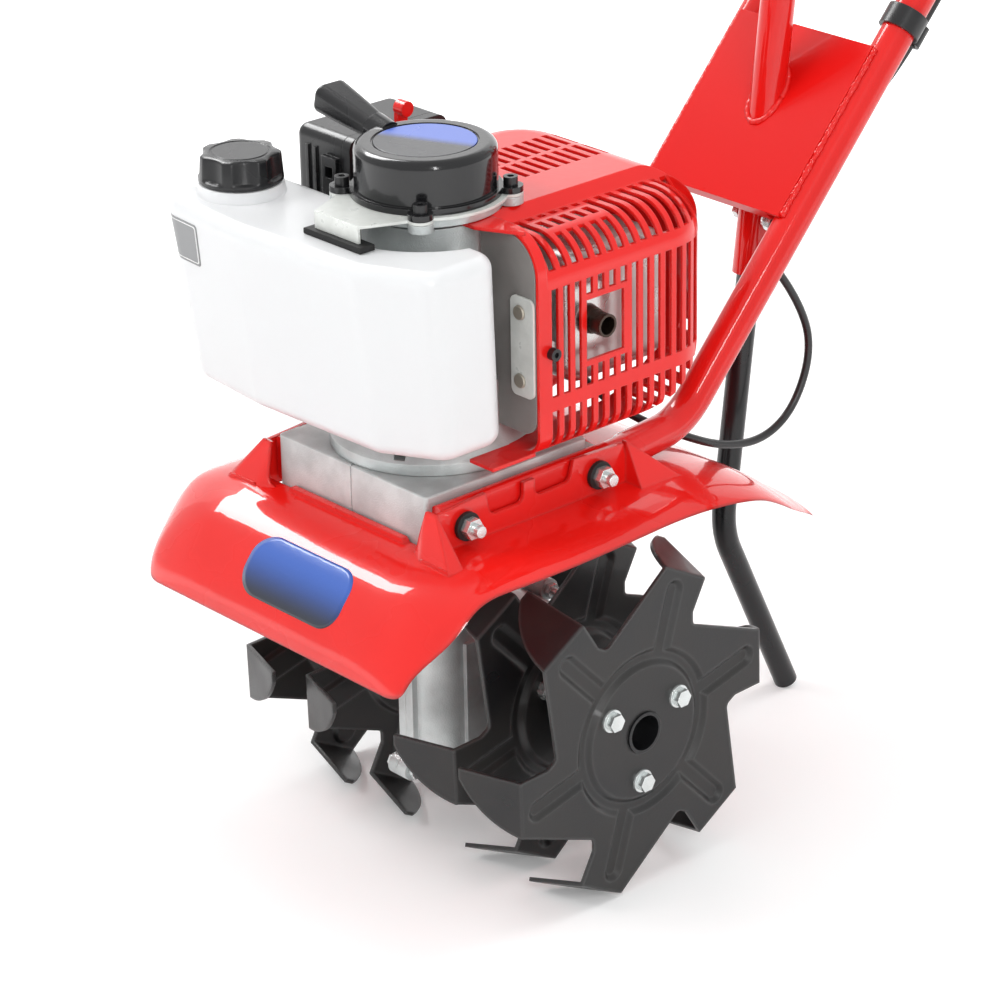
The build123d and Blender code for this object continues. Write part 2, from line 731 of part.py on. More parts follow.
with BuildPart() as engine_cover:
    add(cover_step(0))
    add(cover_step(COVER_T), mode=Mode.SUBTRACT)
    with BuildSketch(level(COVER_V[1] - COVER_T)):
        with BuildLine():
            Polyline((LIP_X, -66), (56, -66), (88, -50), (LIP_X, -50), close=True)
        make_face()
    extrude(amount=COVER_T)
    with BuildSketch(level(COVER_V[0])):
        with Locations((83.5, -69)):
            Rectangle(23, 38)
    extrude(amount=COVER_T)
    with BuildSketch(level(COVER_V[0] - 5)):
        with Locations((-24, 30)):
            Rectangle(172, 260)
    extrude(amount=40, mode=Mode.SUBTRACT)
    with BuildSketch(level(COVER_V[0] - 1)):
        with Locations((0, ENGINE_Y)):
            Circle(BELL_R + 1.5)
    extrude(amount=12, mode=Mode.SUBTRACT)
    with BuildSketch(level(COVER_V[1] - 10)):
        with Locations((0, ENGINE_Y)):
            Circle(CRANKCASE_R + 2)
        with Locations((LIP_X + 60, ENGINE_Y)):
            Rectangle(120, 200, mode=Mode.SUBTRACT)
    extrude(amount=20, mode=Mode.SUBTRACT)
    with Locations(seat(-86, -9, 283)):
        Box(52, 110, 260, mode=Mode.SUBTRACT)
    slots = [COVER_Y[0] + 14.6 + SLOT_PITCH * n for n in range(SLOTS + 1)]
    for number, slot_y in enumerate(slots):
        spans = ((53, 58), (63, 76), (82, 115)) if 1 < number < 7 else ((53, 115),)
        for x0, x1 in spans:
            with Locations(seat((x0 + x1) / 2, slot_y, 353)):
                Box(x1 - x0, SLOT_WIDTH, 38, mode=Mode.SUBTRACT)
    with Locations(*[seat(95, y, 284) for y in slots]):
        Box(46, SLOT_WIDTH, 76, mode=Mode.SUBTRACT)
    with Locations(*[seat(95, y, 223) for y in slots]):
        Box(46, SLOT_WIDTH, 26, mode=Mode.SUBTRACT)
    top_slots = [26 + 9.4 * n for n in range(9)]
    with Locations(*[seat(x, y, COVER_V[1]) for y in top_slots for x in (-35, -5)]):
        Box(26, 5, 24, mode=Mode.SUBTRACT)
    with BuildSketch(side(COVER_X[1] - COVER_T)):
        with Locations((8, 285)):
            RectangleRounded(42, 51, 2)
    extrude(amount=COVER_T)
    with Locations(seat(COVER_X[1], 8, 285)):
        Box(12, 34, 43, mode=Mode.SUBTRACT)
    with BuildSketch(side(COVER_X[1] + 1)):
        with Locations(COVER_SCREW):
            Circle(2.7)
    extrude(amount=-8, mode=Mode.SUBTRACT)

with BuildPart() as cover_screw:
    with BuildSketch(side(COVER_X[1] + 0.1)):
        with Locations(COVER_SCREW):
            Circle(4.25)
    extrude(amount=5)
    with BuildSketch(side(COVER_X[1] + 2.4)):
        with Locations(COVER_SCREW):
            RegularPolygon(2.2, 6)
    extrude(amount=5, mode=Mode.SUBTRACT)
    with BuildSketch(side(COVER_X[1] + 0.1)):
        with Locations(COVER_SCREW):
            Circle(2.5)
    extrude(amount=-16)

with BuildPart() as heat_shield:
    with BuildSketch(front(COVER_Y[0] + 1.4)):
        with BuildLine():
            shield_x = COVER_X[1] - COVER_T - GAP
            shield_v = COVER_V[1] - COVER_T - GAP
            Polyline(
                (CRANKCASE_R + 3, 254),
                (CRANKCASE_R + 3, shield_v),
                (shield_x, shield_v),
                (shield_x, 220),
                (62, 220),
                (62, 254),
                close=True,
            )
        make_face()
        corners = vertices().sort_by(Axis.X)[-2:].sort_by(Axis.Y)
        fillet(corners[-1], COVER_ROLL - COVER_T - GAP)
        fillet(vertices().sort_by(Axis.Y)[:2].sort_by(Axis.X)[-1], 13)
    extrude(amount=2)

with BuildPart() as shield_strap:
    with BuildSketch(front(COVER_Y[0] - 0.8)):
        with Locations((88, 282)):
            RectangleRounded(22, 70, 5)
        with Locations((86, 306), (86, 258)):
            Circle(2.6, mode=Mode.SUBTRACT)
    extrude(amount=1.6)

with BuildPart() as shield_rivets:
    for rivet_v in (306, 258):
        with BuildSketch(front(COVER_Y[0] - 2.6)):
            with Locations((86, rivet_v)):
                Circle(5.2)
        extrude(amount=1.4, taper=20)
        with BuildSketch(front(COVER_Y[0] - 2.6)):
            with Locations((86, rivet_v)):
                Circle(2.5)
        extrude(amount=-1.7)

# Carburettor and air filter

with BuildPart() as carburettor:
    with BuildSketch(side(-46)):
        with Locations((32, CYLINDER_V)):
            RectangleRounded(34, 30, 5)
            Circle(8, mode=Mode.SUBTRACT)
    extrude(amount=-8)
    with BuildSketch(side(-54)):
        with Locations((32, CYLINDER_V)):
            RectangleRounded(40, 44, 6)
            Circle(8, mode=Mode.SUBTRACT)
    extrude(amount=-31.6)

with BuildPart() as filter_base:
    with BuildSketch(side(-86)):
        with Locations((-8, 330)):
            RectangleRounded(88, 104, 8)
        with Locations((32, CYLINDER_V + 8)):
            RectangleRounded(44, 60, 8)
        with Locations((32, CYLINDER_V)):
            Circle(8, mode=Mode.SUBTRACT)
    extrude(amount=-8)
    with BuildSketch(side(-86)):
        with Locations((-10, 366)):
            Circle(5)
    extrude(amount=1.6)

with BuildPart() as filter_cover:
    with BuildSketch(side(-94.3)):
        with Locations((-8, 330)):
            RectangleRounded(88, 104, 8)
    extrude(amount=-50)
    fillet(filter_cover.faces().sort_by(Axis.X)[0].edges(), 7)
    with BuildSketch(side(-94)):
        with Locations((-8, 330)):
            RectangleRounded(80, 96, 6)
    extrude(amount=-44, mode=Mode.SUBTRACT)
    with BuildSketch(front(-52)):
        with Locations((-104, 352)):
            Rectangle(15, 30)
        with Locations((-104, 342)):
            Rectangle(9, 10)
    extrude(amount=4)
    with BuildSketch(front(-56)):
        with Locations((-104, 356)):
            Rectangle(8, 8)
    extrude(amount=-10, mode=Mode.SUBTRACT)
    with BuildSketch(front(-52)):
        with Locations((-122, 340)):
            Rectangle(3, 60)
        with Locations((-130, 340)):
            Rectangle(3, 60)
    extrude(amount=1.6)

with BuildPart() as filter_foam:
    with BuildSketch(side(-95)):
        with Locations((-8, 330)):
            RectangleRounded(78, 94, 5)
    extrude(amount=-22)

with BuildPart() as choke_lever:
    with BuildSketch(side(-84)):
        with Locations((-10, 366)):
            Circle(6)
        with BuildLine():
            Polyline((-14, 367), (-13, 396), (-4, 398), (-5, 367), close=True)
        make_face()
        with Locations((-8.5, 397)):
            Circle(5.5)
    extrude(amount=4)
    with BuildSketch(side(-84)):
        with Locations((-8.5, 397)):
            Circle(5.5)
    extrude(amount=9)

# Starter

grip_axis = Vector(-cos(radians(GRIP_RISE)), 0, sin(radians(GRIP_RISE)))


def along_grip(step):
    """A sketch plane square to the rope, a step along it from the guide."""
    return Plane(origin=seat(*GRIP_BASE) + grip_axis * step, x_dir=(0, 1, 0), z_dir=grip_axis)


with BuildPart() as starter_housing:
    with BuildSketch(level(STARTER_V[0])):
        with Locations((0, ENGINE_Y)):
            Circle(STARTER_R)
    extrude(amount=STARTER_V[1] - STARTER_V[0])
    fillet(starter_housing.faces().sort_by(Axis.Z)[-1].edges(), 6)
    with BuildSketch(level(STARTER_V[0])):
        with Locations((0, ENGINE_Y)):
            Circle(STARTER_R + 3)
            with GridLocations(2 * STARTER_SCREW, 2 * STARTER_SCREW, 2, 2):
                Circle(8.5)
    extrude(amount=4)
    with BuildSketch(along_grip(-18)):
        Circle(10)
    extrude(amount=15)
    with BuildSketch(level(STARTER_V[1] - 1)):
        with Locations((0, ENGINE_Y)):
            Circle(STARTER_R - 12)
    extrude(amount=5, mode=Mode.SUBTRACT)
    with BuildSketch(level(STARTER_V[0])):
        with Locations((0, ENGINE_Y)):
            Circle(STARTER_R - 3)
    extrude(amount=STARTER_V[1] - STARTER_V[0] - 4.5, mode=Mode.SUBTRACT)
    with BuildSketch(along_grip(-30)):
        Circle(2.6)
    extrude(amount=40, mode=Mode.SUBTRACT)
    with BuildSketch(level(STARTER_V[0] - 1)):
        with Locations((0, ENGINE_Y)):
            with GridLocations(2 * STARTER_SCREW, 2 * STARTER_SCREW, 2, 2):
                Circle(2.7)
    extrude(amount=8, mode=Mode.SUBTRACT)
    with BuildSketch(level(STARTER_V[1] - 3)):
        with Locations((0, ENGINE_Y)):
            Circle(7)
    extrude(amount=-24)

with BuildPart() as starter_screws:
    for screw in GridLocations(2 * STARTER_SCREW, 2 * STARTER_SCREW, 2, 2):
        spot = screw.position + Vector(0, ENGINE_Y, 0)
        with BuildSketch(level(STARTER_V[0] + 4.1)):
            with Locations((spot.X, spot.Y)):
                Circle(4.9)
        extrude(amount=6)
        with BuildSketch(level(STARTER_V[0] + 7)):
            with Locations((spot.X, spot.Y)):
                RegularPolygon(2.6, 6)
        extrude(amount=5, mode=Mode.SUBTRACT)
        with BuildSketch(level(STARTER_V[0] + 4.1)):
            with Locations((spot.X, spot.Y)):
                Circle(2.5)
        extrude(amount=-10)

with BuildPart() as starter_pulley:
    with BuildSketch(level(STARTER_V[0] + 8)):
        with Locations((0, ENGINE_Y)):
            Circle(PULLEY_R)
    extrude(amount=14)
    with BuildSketch(level(STARTER_V[0] + 12)):
        with Locations((0, ENGINE_Y)):
            Circle(PULLEY_R + 1)
            Circle(PULLEY_R - 10, mode=Mode.SUBTRACT)
    extrude(amount=6, mode=Mode.SUBTRACT)
    with BuildSketch(level(STARTER_V[0])):
        with Locations((0, ENGINE_Y)):
            Circle(7 + RUN_FIT)
    extrude(amount=40, mode=Mode.SUBTRACT)

with BuildPart() as starter_rope:
    with BuildSketch(along_grip(-11)):
        Circle(2)
    extrude(amount=19)

with BuildPart() as starter_grip:
    with BuildSketch(along_grip(-2.4)):
        RectangleRounded(19, 15, 6)
    with BuildSketch(along_grip(16)):
        RectangleRounded(23, 18, 7)
    with BuildSketch(along_grip(46)):
        RectangleRounded(27, 21, 7)
    loft()
    fillet(starter_grip.faces().sort_by(Axis.X)[0].edges(), 3)
    with BuildSketch(along_grip(-5)):
        Circle(2 + RUN_FIT)
    extrude(amount=30, mode=Mode.SUBTRACT)

# Fuel tank and its bracket

with BuildPart() as tank_bracket:
    with BuildSketch(level(STARTER_V[0] - GAP - BRACKET_T)):
        with Locations((0, ENGINE_Y)):
            Circle(STARTER_R + 7)
            with GridLocations(2 * STARTER_SCREW, 2 * STARTER_SCREW, 2, 2):
                Circle(8.5)
        with BuildLine():
            Polyline((-40, ENGINE_Y - 38), (40, ENGINE_Y - 38), (22, -136), (-22, -136), close=True)
        make_face()
        with Locations((0, ENGINE_Y)):
            Circle(STARTER_R - 3, mode=Mode.SUBTRACT)
            with GridLocations(2 * STARTER_SCREW, 2 * STARTER_SCREW, 2, 2):
                Circle(2.7, mode=Mode.SUBTRACT)
    extrude(amount=BRACKET_T)
    with BuildSketch(front(-136)):
        with Locations((0, 363.7)):
            Rectangle(44, 12)
    extrude(amount=-BRACKET_T)

with BuildPart() as tank_pad:
    with BuildSketch(front(-140)):
        with BuildLine():
            Polyline((-29, 353.2), (29, 353.2), (29, 357.5), (-29, 357.5), close=True)
        make_face()
    extrude(amount=-12)
    fillet(tank_pad.edges().filter_by(Axis.Y), 1.2)


TANK_TOP = ((92, -74), (92, -134), (40, -160), (-72, -166), (-148, -160), (-163, -151), (-163, -72))
TANK_FOOT = ((97, -74), (97, -128), (52, -152), (-66, -156), (-134, -150), (-150, -135), (-150, -72))


def tank_form(inset):
    """The tank's outer form, or the same form set in by the wall."""
    with BuildPart() as form:
        for tank_v, outline in ((TANK_V[0] + inset, TANK_FOOT), (TANK_V[1] - inset, TANK_TOP)):
            with BuildSketch(level(tank_v)):
                with BuildLine():
                    Polyline(*outline, close=True)
                make_face()
                fillet(vertices(), 18)
                if inset:
                    offset(amount=-inset, mode=Mode.REPLACE)
        loft(ruled=True)
        with BuildSketch(level(0)):
            with Locations((0, ENGINE_Y)):
                Circle(HOUSING_R + 4 + inset)
        extrude(amount=500, mode=Mode.SUBTRACT)
        lids = form.faces().filter_by(Axis.Z)
        fillet(lids.edges(), 10 - inset)
    return form.part


with BuildPart() as fuel_tank:
    add(tank_form(0))
    with BuildSketch(level(TANK_V[1] - 12)):
        with Locations(CAP_AT):
            Circle(32)
    extrude(amount=CAP_V[0] - GAP - TANK_V[1] + 12, taper=8)
    with BuildSketch(level(CAP_V[0] - 2)):
        with Locations(CAP_AT):
            Circle(20)
    extrude(amount=13)
    add(tank_form(TANK_WALL), mode=Mode.SUBTRACT)
    with BuildSketch(level(TANK_V[1] - 14)):
        with Locations(CAP_AT):
            Circle(17.5)
    extrude(amount=60, mode=Mode.SUBTRACT)

with BuildPart() as fuel_cap:
    with BuildSketch(level(CAP_V[0])):
        with Locations(CAP_AT):
            Circle(CAP_R)
    extrude(amount=CAP_V[1] - CAP_V[0])
    fillet(fuel_cap.faces().sort_by(Axis.Z)[-1].edges(), 2.5)
    with BuildSketch(level(CAP_V[0] + 3.5)):
        with Locations(CAP_AT):
            with PolarLocations(CAP_R + 5.5, 9):
                Circle(8.2)
    extrude(amount=30, mode=Mode.SUBTRACT)
    with BuildSketch(level(CAP_V[0])):
        with Locations(CAP_AT):
            Circle(20 + GAP)
    extrude(amount=12, mode=Mode.SUBTRACT)
    with BuildSketch(level(CAP_V[1])):
        with Locations(CAP_AT):
            Circle(19)
            Circle(17.6, mode=Mode.SUBTRACT)
    extrude(amount=-0.6, mode=Mode.SUBTRACT)

hose_points = (
    seat(-86, -72.3, 262),
    seat(-85, -46, 262),
    seat(-78, -16, 268),
    seat(-70, 10.4, 280),
)


def bend_radii(points):
    """Bend radius at each inner point, from its shorter run and its turn."""
    radii = []
    for before, here, after in zip(points, points[1:], points[2:]):
        run = min((here - before).length, (after - here).length)
        turn = (here - before).get_angle(after - here)
        radii.append(0.45 * run / max(sin(radians(turn / 2)) / cos(radians(turn / 2)), 0.01))
    return radii


with BuildPart() as fuel_hose:
    with BuildLine() as hose_path:
        FilletPolyline(*hose_points, radius=bend_radii(hose_points))
    with BuildSketch(Plane(origin=hose_path.line @ 0, z_dir=hose_path.line % 0)):
        Circle(3)
        Circle(1.6, mode=Mode.SUBTRACT)
    sweep(path=hose_path.line)

# Fender


# Place along Y, half width, crown height and rim height of each section.
FENDER_SECTIONS = (
    (-208, 126, 100, 90),
    (-204, 133, 112, 99),
    (-197, 138, 124, 108),
    (-187, 142, 137, 116),
    (-172, 147, 148, 128),
    (-152, 149.5, 155, 144),
    (-126, 150, 158, 147),
    (-60, 150, 158, 147),
    (30, 150, 158, 147),
    (70, 150, 157.4, 146.4),
    (97, 150, 154, 143.5),
    (116, 149, 149, 138),
    (146, 146, 134, 121),
    (178, 138, 112, 103),
)


def fender_form(inset):
    """The fender's closed form through its sections, or the same form set in by the wall."""
    with BuildPart() as form:
        for y, half, crown, rim in FENDER_SECTIONS:
            ahead = inset * max(0, min(1, (-126 - y) / 40))
            if inset and y == FENDER_SECTIONS[-1][0]:
                y, half, crown = y + 12, half - 3, crown - 9
            low = rim - 4
            half = half - inset
            crown = crown - inset
            with BuildSketch(front(y + ahead)):
                with BuildLine():
                    Bezier((half, low), (half, (low + crown) / 2), (0.8 * half, crown), (0.6 * half, crown))
                    Line((0.6 * half, crown), (-0.6 * half, crown))
                    Bezier((-0.6 * half, crown), (-0.8 * half, crown), (-half, (low + crown) / 2), (-half, low))
                    Polyline((-half, low), (-half, 20), (half, 20), (half, low))
                make_face()
        loft()
    return form.part


def flange_gussets(way):
    """The two sloped gussets that stiffen one flange."""
    with BuildPart() as gussets:
        with BuildSketch(front(BLOCK_FRONT - 2)):
            with BuildLine():
                Polyline(
                    (way * FLANGE_X, 187),
                    (way * (FLANGE_X + 3), 187),
                    (way * 115, 155.6),
                    (way * 115, 152),
                    (way * FLANGE_X, 152),
                    close=True,
                )
            make_face()
        extrude(amount=13)
        with BuildSketch(front(38)):
            with BuildLine():
                Polyline(
                    (way * FLANGE_X, 188),
                    (way * (FLANGE_X + 4), 188),
                    (way * 108, 152),
                    (way * FLANGE_X, 152),
                    close=True,
                )
            make_face()
        extrude(amount=-42)
        with BuildSketch(side(0)):
            with BuildLine():
                Polyline((-160, 158), (-144.5, 158), (-133.5, 189), (-133.5, 200), (-160, 200), close=True)
            make_face()
            with BuildLine():
                Polyline((38, 188.5), (82, 150), (100, 150), (100, 200), (38, 200), close=True)
            make_face()
        extrude(amount=200, both=True, mode=Mode.SUBTRACT)
    return gussets.part


with BuildPart() as fender:
    add(fender_form(0))
    add(fender_form(FENDER_T), mode=Mode.SUBTRACT)
    with BuildSketch(side(0)):
        with BuildLine():
            Spline(
                (-215, 91),
                (-207, 92),
                (-200, 103),
                (-193, 111),
                (-182, 119.5),
                (-170, 129),
                (-151, 143.5),
                (-121, 147),
                (0, 147.5),
                (65, 147),
                (97, 143),
                (116, 137.5),
                (146.5, 120.5),
                (170.5, 107),
                (200, 90),
            )
            Polyline((200, 90), (200, 0), (-215, 0), (-215, 91))
        make_face()
    extrude(amount=200, both=True, mode=Mode.SUBTRACT)
    for rail_way in (-1, 1):
        with BuildSketch(side(rail_way * FLANGE_X)):
            with BuildLine():
                Polyline(
                    (-146, 152),
                    (-133, 186),
                    (-90, 189),
                    (-86, 172),
                    (-56, 172),
                    (-56, 186),
                    (-46, 186),
                    (-46, 173),
                    (-14, 174),
                    (-10, 189),
                    (36, 187),
                    (44, 152),
                    close=True,
                )
            make_face()
            fillet([v for v in vertices() if 171 < v.Y < 175], 6)
        extrude(amount=rail_way * FLANGE_T)
        add(flange_gussets(rail_way))
        with BuildSketch(side(rail_way * FLANGE_X)):
            with Locations(*[(y, FRAME_BOLT_V) for y in FRAME_BOLTS_Y]):
                Circle(9)
        extrude(amount=rail_way * (FLANGE_T + 1))
    with BuildSketch(front(-132.2)):
        with BuildLine():
            Polyline((-66, 152), (-58, 161), (58, 161), (66, 152), close=True)
        make_face()
    extrude(amount=5)
    with BuildSketch(level(100)):
        with Locations((0, (BLOCK_FRONT - 1 + 58) / 2)):
            Rectangle(2 * FLANGE_X, 58 - BLOCK_FRONT + 1)
    extrude(amount=120, mode=Mode.SUBTRACT)
    with BuildSketch(side(0)):
        with Locations(*[(y, FRAME_BOLT_V) for y in FRAME_BOLTS_Y]):
            Circle(FRAME_BOLT_R + 0.3)
    extrude(amount=200, both=True, mode=Mode.SUBTRACT)

with BuildPart() as fender_bolts:
    for bolt_y in FRAME_BOLTS_Y:
        reach = FLANGE_X + FLANGE_T + 4.2
        add(cross_bolt(bolt_y, FRAME_BOLT_V, -reach, reach, FRAME_BOLT_R))

with BuildPart() as fender_washers:
    for bolt_y in FRAME_BOLTS_Y:
        for washer_way in (-1, 1):
            with BuildSketch(side(washer_way * (FLANGE_X + FLANGE_T + 1.1))):
                with Locations((bolt_y, FRAME_BOLT_V)):
                    Circle(10)
                    Circle(FRAME_BOLT_R + 0.1, mode=Mode.SUBTRACT)
            extrude(amount=washer_way * 3)

# Handle tubes, plate, sleeve and stake


def tube_v(y):
    """Height of the rising tube's axis at a place along Y."""
    return FRAME_BOLT_V + (y - TUBE_BEND_Y) * TUBE_SLOPE


FLAT_X = BLOCK_WIDTH / 2 + GAP + FLAT_T / 2
TUBE_ROUTE = (
    (TUBE_START[0], TUBE_START[1], FRAME_BOLT_V),
    (TUBE_X, TUBE_BEND_Y, FRAME_BOLT_V),
    (TUBE_X, TUBE_KNEE_Y, tube_v(TUBE_KNEE_Y)),
    (HANDLE_X, HANDLE_Y[0], HANDLE_V),
    (HANDLE_X, HANDLE_Y[1], HANDLE_V),
)


def handle_tube(way):
    """One bent tube from its flattened front end up to the grip."""
    with BuildPart() as tube:
        with BuildLine() as run:
            FilletPolyline(*[seat(way * x, y, v) for x, y, v in TUBE_ROUTE], radius=(50, 80, 80))
        with BuildSketch(Plane(origin=run.line @ 0, z_dir=run.line % 0)):
            Circle(TUBE_R)
            Circle(TUBE_R - TUBE_WALL, mode=Mode.SUBTRACT)
        sweep(path=run.line)
        with BuildSketch(front(-126)):
            with Locations((way * FLAT_X, FRAME_BOLT_V)):
                RectangleRounded(FLAT_T, FLAT_H, 3.5)
        extrude(amount=-(FLAT_END + 126))
        with BuildSketch(front(FLAT_END)):
            with Locations((way * FLAT_X, FRAME_BOLT_V)):
                RectangleRounded(FLAT_T, FLAT_H, 4.1)
        with BuildSketch(Plane(origin=run.line @ 0, z_dir=run.line % 0)):
            Circle(TUBE_R)
        loft()
        with BuildSketch(side(0)):
            with Locations(*[(y, FRAME_BOLT_V) for y in FRAME_BOLTS_Y]):
                Circle(FRAME_BOLT_R + 0.2)
        extrude(amount=way * 200, mode=Mode.SUBTRACT)
    return tube


handle_tube_left = handle_tube(-1)
handle_tube_right = handle_tube(1)

rise = Vector(0, 1, TUBE_SLOPE).normalized()
over = Vector(0, -rise.Z, rise.Y)
lean_axis = Vector(0, sin(radians(SLEEVE_TILT)), cos(radians(SLEEVE_TILT)))
sleeve_foot = seat(0, SLEEVE_Y, SLEEVE_V[0])
sleeve_length = (SLEEVE_V[1] - SLEEVE_V[0]) / cos(radians(SLEEVE_TILT))
plate_foot = seat(0, 222, tube_v(222)) + over * (TUBE_R + GAP)

with BuildPart() as handle_plate:
    with BuildSketch(Plane(origin=plate_foot, x_dir=(1, 0, 0), z_dir=over)):
        with Locations((0, 70)):
            Rectangle(2 * TUBE_X, 140)
    extrude(amount=PLATE_T)
    with BuildSketch(Plane(origin=plate_foot, x_dir=(1, 0, 0), z_dir=over)):
        with Locations((0, 1.5)):
            Rectangle(2 * TUBE_X - 2 * TUBE_R - 4, 3)
    extrude(amount=-10)
    with BuildSketch(Plane(origin=sleeve_foot, z_dir=lean_axis)):
        Circle(TUBE_R + GAP)
    extrude(amount=sleeve_length + 50, mode=Mode.SUBTRACT)

with BuildPart() as stake_sleeve:
    with BuildSketch(Plane(origin=sleeve_foot, z_dir=lean_axis)):
        Circle(TUBE_R)
    extrude(amount=sleeve_length)
    with BuildSketch(Plane(origin=sleeve_foot, z_dir=lean_axis)):
        Circle(STAKE_R + 0.4)
    extrude(amount=sleeve_length - 5, mode=Mode.SUBTRACT)
    fillet(stake_sleeve.faces().sort_by(Axis.Z)[-1].edges(), 3)
    bolt_spot = sleeve_foot + lean_axis * 43
    with BuildSketch(Plane(origin=bolt_spot, x_dir=(0, 1, 0), z_dir=(1, 0, 0))):
        Circle(3.2)
    extrude(amount=30, both=True, mode=Mode.SUBTRACT)

with BuildPart() as stake_bolt:
    with BuildSketch(Plane(origin=bolt_spot + Vector(-TUBE_R - 0.6, 0, 0), x_dir=(0, 1, 0), z_dir=(1, 0, 0))):
        Circle(3)
    extrude(amount=2 * TUBE_R + 10)
    with BuildSketch(Plane(origin=bolt_spot + Vector(-TUBE_R - 0.6, 0, 0), x_dir=(0, 1, 0), z_dir=(1, 0, 0))):
        RegularPolygon(6, 6)
    extrude(amount=-5)
    with BuildSketch(Plane(origin=bolt_spot + Vector(TUBE_R + 0.6, 0, 0), x_dir=(0, 1, 0), z_dir=(1, 0, 0))):
        Circle(8)
        Circle(3 + RUN_FIT, mode=Mode.SUBTRACT)
    extrude(amount=1.6)
    with BuildSketch(Plane(origin=bolt_spot + Vector(TUBE_R + 2.4, 0, 0), x_dir=(0, 1, 0), z_dir=(1, 0, 0))):
        RegularPolygon(5.8, 6)
        Circle(3 + RUN_FIT, mode=Mode.SUBTRACT)
    extrude(amount=5)

with BuildPart() as drag_stake:
    bend_step = (STAKE_BEND[1] - SLEEVE_V[0]) / cos(radians(SLEEVE_TILT))
    with BuildLine() as stake_run:
        FilletPolyline(
            sleeve_foot + lean_axis * 110,
            sleeve_foot + lean_axis * bend_step,
            seat(0, *STAKE_FOOT),
            radius=70,
        )
    with BuildSketch(Plane(origin=stake_run.line @ 0, z_dir=stake_run.line % 0)):
        Circle(STAKE_R)
    sweep(path=stake_run.line)
    with BuildSketch(Plane(origin=sleeve_foot + lean_axis * 43, x_dir=lean_axis, z_dir=(1, 0, 0))):
        SlotOverall(110, 7)
    extrude(amount=30, both=True, mode=Mode.SUBTRACT)

# Throttle cable and its clip

CABLE_R = 3.0
CLIP_Y = 336.0
CABLE_OFF = TUBE_R + 6.5

clip_spot = seat(TUBE_X, CLIP_Y, tube_v(CLIP_Y))
cable_side = over * -CABLE_OFF

with BuildPart() as cable_clip:
    with BuildSketch(Plane(origin=clip_spot, x_dir=(1, 0, 0), z_dir=rise)):
        Circle(TUBE_R + 3)
        with Locations((0, CABLE_OFF)):
            Circle(CABLE_R + 3.4)
        Circle(TUBE_R + 0.2, mode=Mode.SUBTRACT)
        with Locations((0, CABLE_OFF)):
            Circle(CABLE_R + 0.6, mode=Mode.SUBTRACT)
    extrude(amount=8, both=True)


def beside_tube(y, aside):
    """A point of the cable where it runs along the rising right tube."""
    return seat(TUBE_X + aside, y, tube_v(y)) + cable_side


cable_points = (
    seat(-70, 52.8, 280),
    seat(-70, 92, 270.4),
    seat(-57, 96, 226),
    seat(-20, 94, 190),
    seat(22, 104, 168),
    seat(42, 140, 147),
    seat(42, 182, 126),
    seat(42, 224, 119),
    seat(42, 256, 136),
    seat(42, 273, 178),
    seat(38, 262, 216),
    seat(28, 232, 262),
    seat(30, 262, 302),
    seat(42, 300, 334),
    beside_tube(316, 0),
    beside_tube(375.7, 1.2),
    beside_tube(435.3, -0.8),
    beside_tube(495, 0),
    seat(82, 544, 613),
    seat(141, 574, 650),
    seat(201, 603, 693),
    seat(HANDLE_X, 637, HANDLE_V - 24),
    seat(HANDLE_X, HANDLE_Y[1] - 114, HANDLE_V - 24),
)

with BuildPart() as throttle_cable:
    with BuildLine() as cable_run:
        FilletPolyline(*cable_points, radius=bend_radii(cable_points))
    with BuildSketch(Plane(origin=cable_run.line @ 0, z_dir=cable_run.line % 0)):
        Circle(CABLE_R)
    sweep(path=cable_run.line)

# Grips and throttle control

with BuildPart() as grip_left:
    with BuildSketch(front(HANDLE_Y[1] - 118)):
        with Locations((-HANDLE_X, HANDLE_V)):
            Circle(16.5)
    extrude(amount=-124)
    fillet(grip_left.edges().filter_by(GeomType.CIRCLE), 3)
    with Locations(*[seat(-HANDLE_X, HANDLE_Y[1] - 105 + 10 * n, HANDLE_V) for n in range(10)]):
        Torus(16.8, 1.1, rotation=(90, 0, 0), mode=Mode.SUBTRACT)
    with BuildSketch(front(HANDLE_Y[1] - 130)):
        with Locations((-HANDLE_X, HANDLE_V)):
            Circle(TUBE_R + RUN_FIT)
    extrude(amount=-130.3, mode=Mode.SUBTRACT)

with BuildPart() as throttle_grip:
    with BuildSketch(front(HANDLE_Y[1] - 122)):
        with Locations((HANDLE_X, HANDLE_V)):
            RectangleRounded(33, 38, 14)
    extrude(amount=-128)
    fillet(throttle_grip.faces().filter_by(Axis.Y).edges(), 4)
    with BuildSketch(front(HANDLE_Y[1] - 122)):
        with Locations((HANDLE_X, HANDLE_V - 17)):
            RectangleRounded(26, 30, 8)
    extrude(amount=-52)
    with BuildSketch(side(HANDLE_X)):
        with BuildLine():
            Polyline(
                (HANDLE_Y[1] - 110, HANDLE_V - 40),
                (HANDLE_Y[1] - 110, HANDLE_V - 16),
                (HANDLE_Y[1] - 40, HANDLE_V - 16),
                (HANDLE_Y[1] - 40, HANDLE_V - 40),
                close=True,
            )
        make_face()
    extrude(amount=5, both=True, mode=Mode.SUBTRACT)
    with BuildSketch(level(HANDLE_V + 15)):
        with Locations((HANDLE_X, HANDLE_Y[1] - 112)):
            Rectangle(12, 20)
    extrude(amount=20, mode=Mode.SUBTRACT)
    with BuildSketch(front(HANDLE_Y[1] - 150)):
        with Locations((HANDLE_X, HANDLE_V)):
            Circle(TUBE_R + RUN_FIT)
    extrude(amount=-150.3, mode=Mode.SUBTRACT)
    with BuildSketch(front(HANDLE_Y[1] - 150)):
        with Locations((HANDLE_X, HANDLE_V - 24)):
            Circle(3.3)
    extrude(amount=-42, mode=Mode.SUBTRACT)

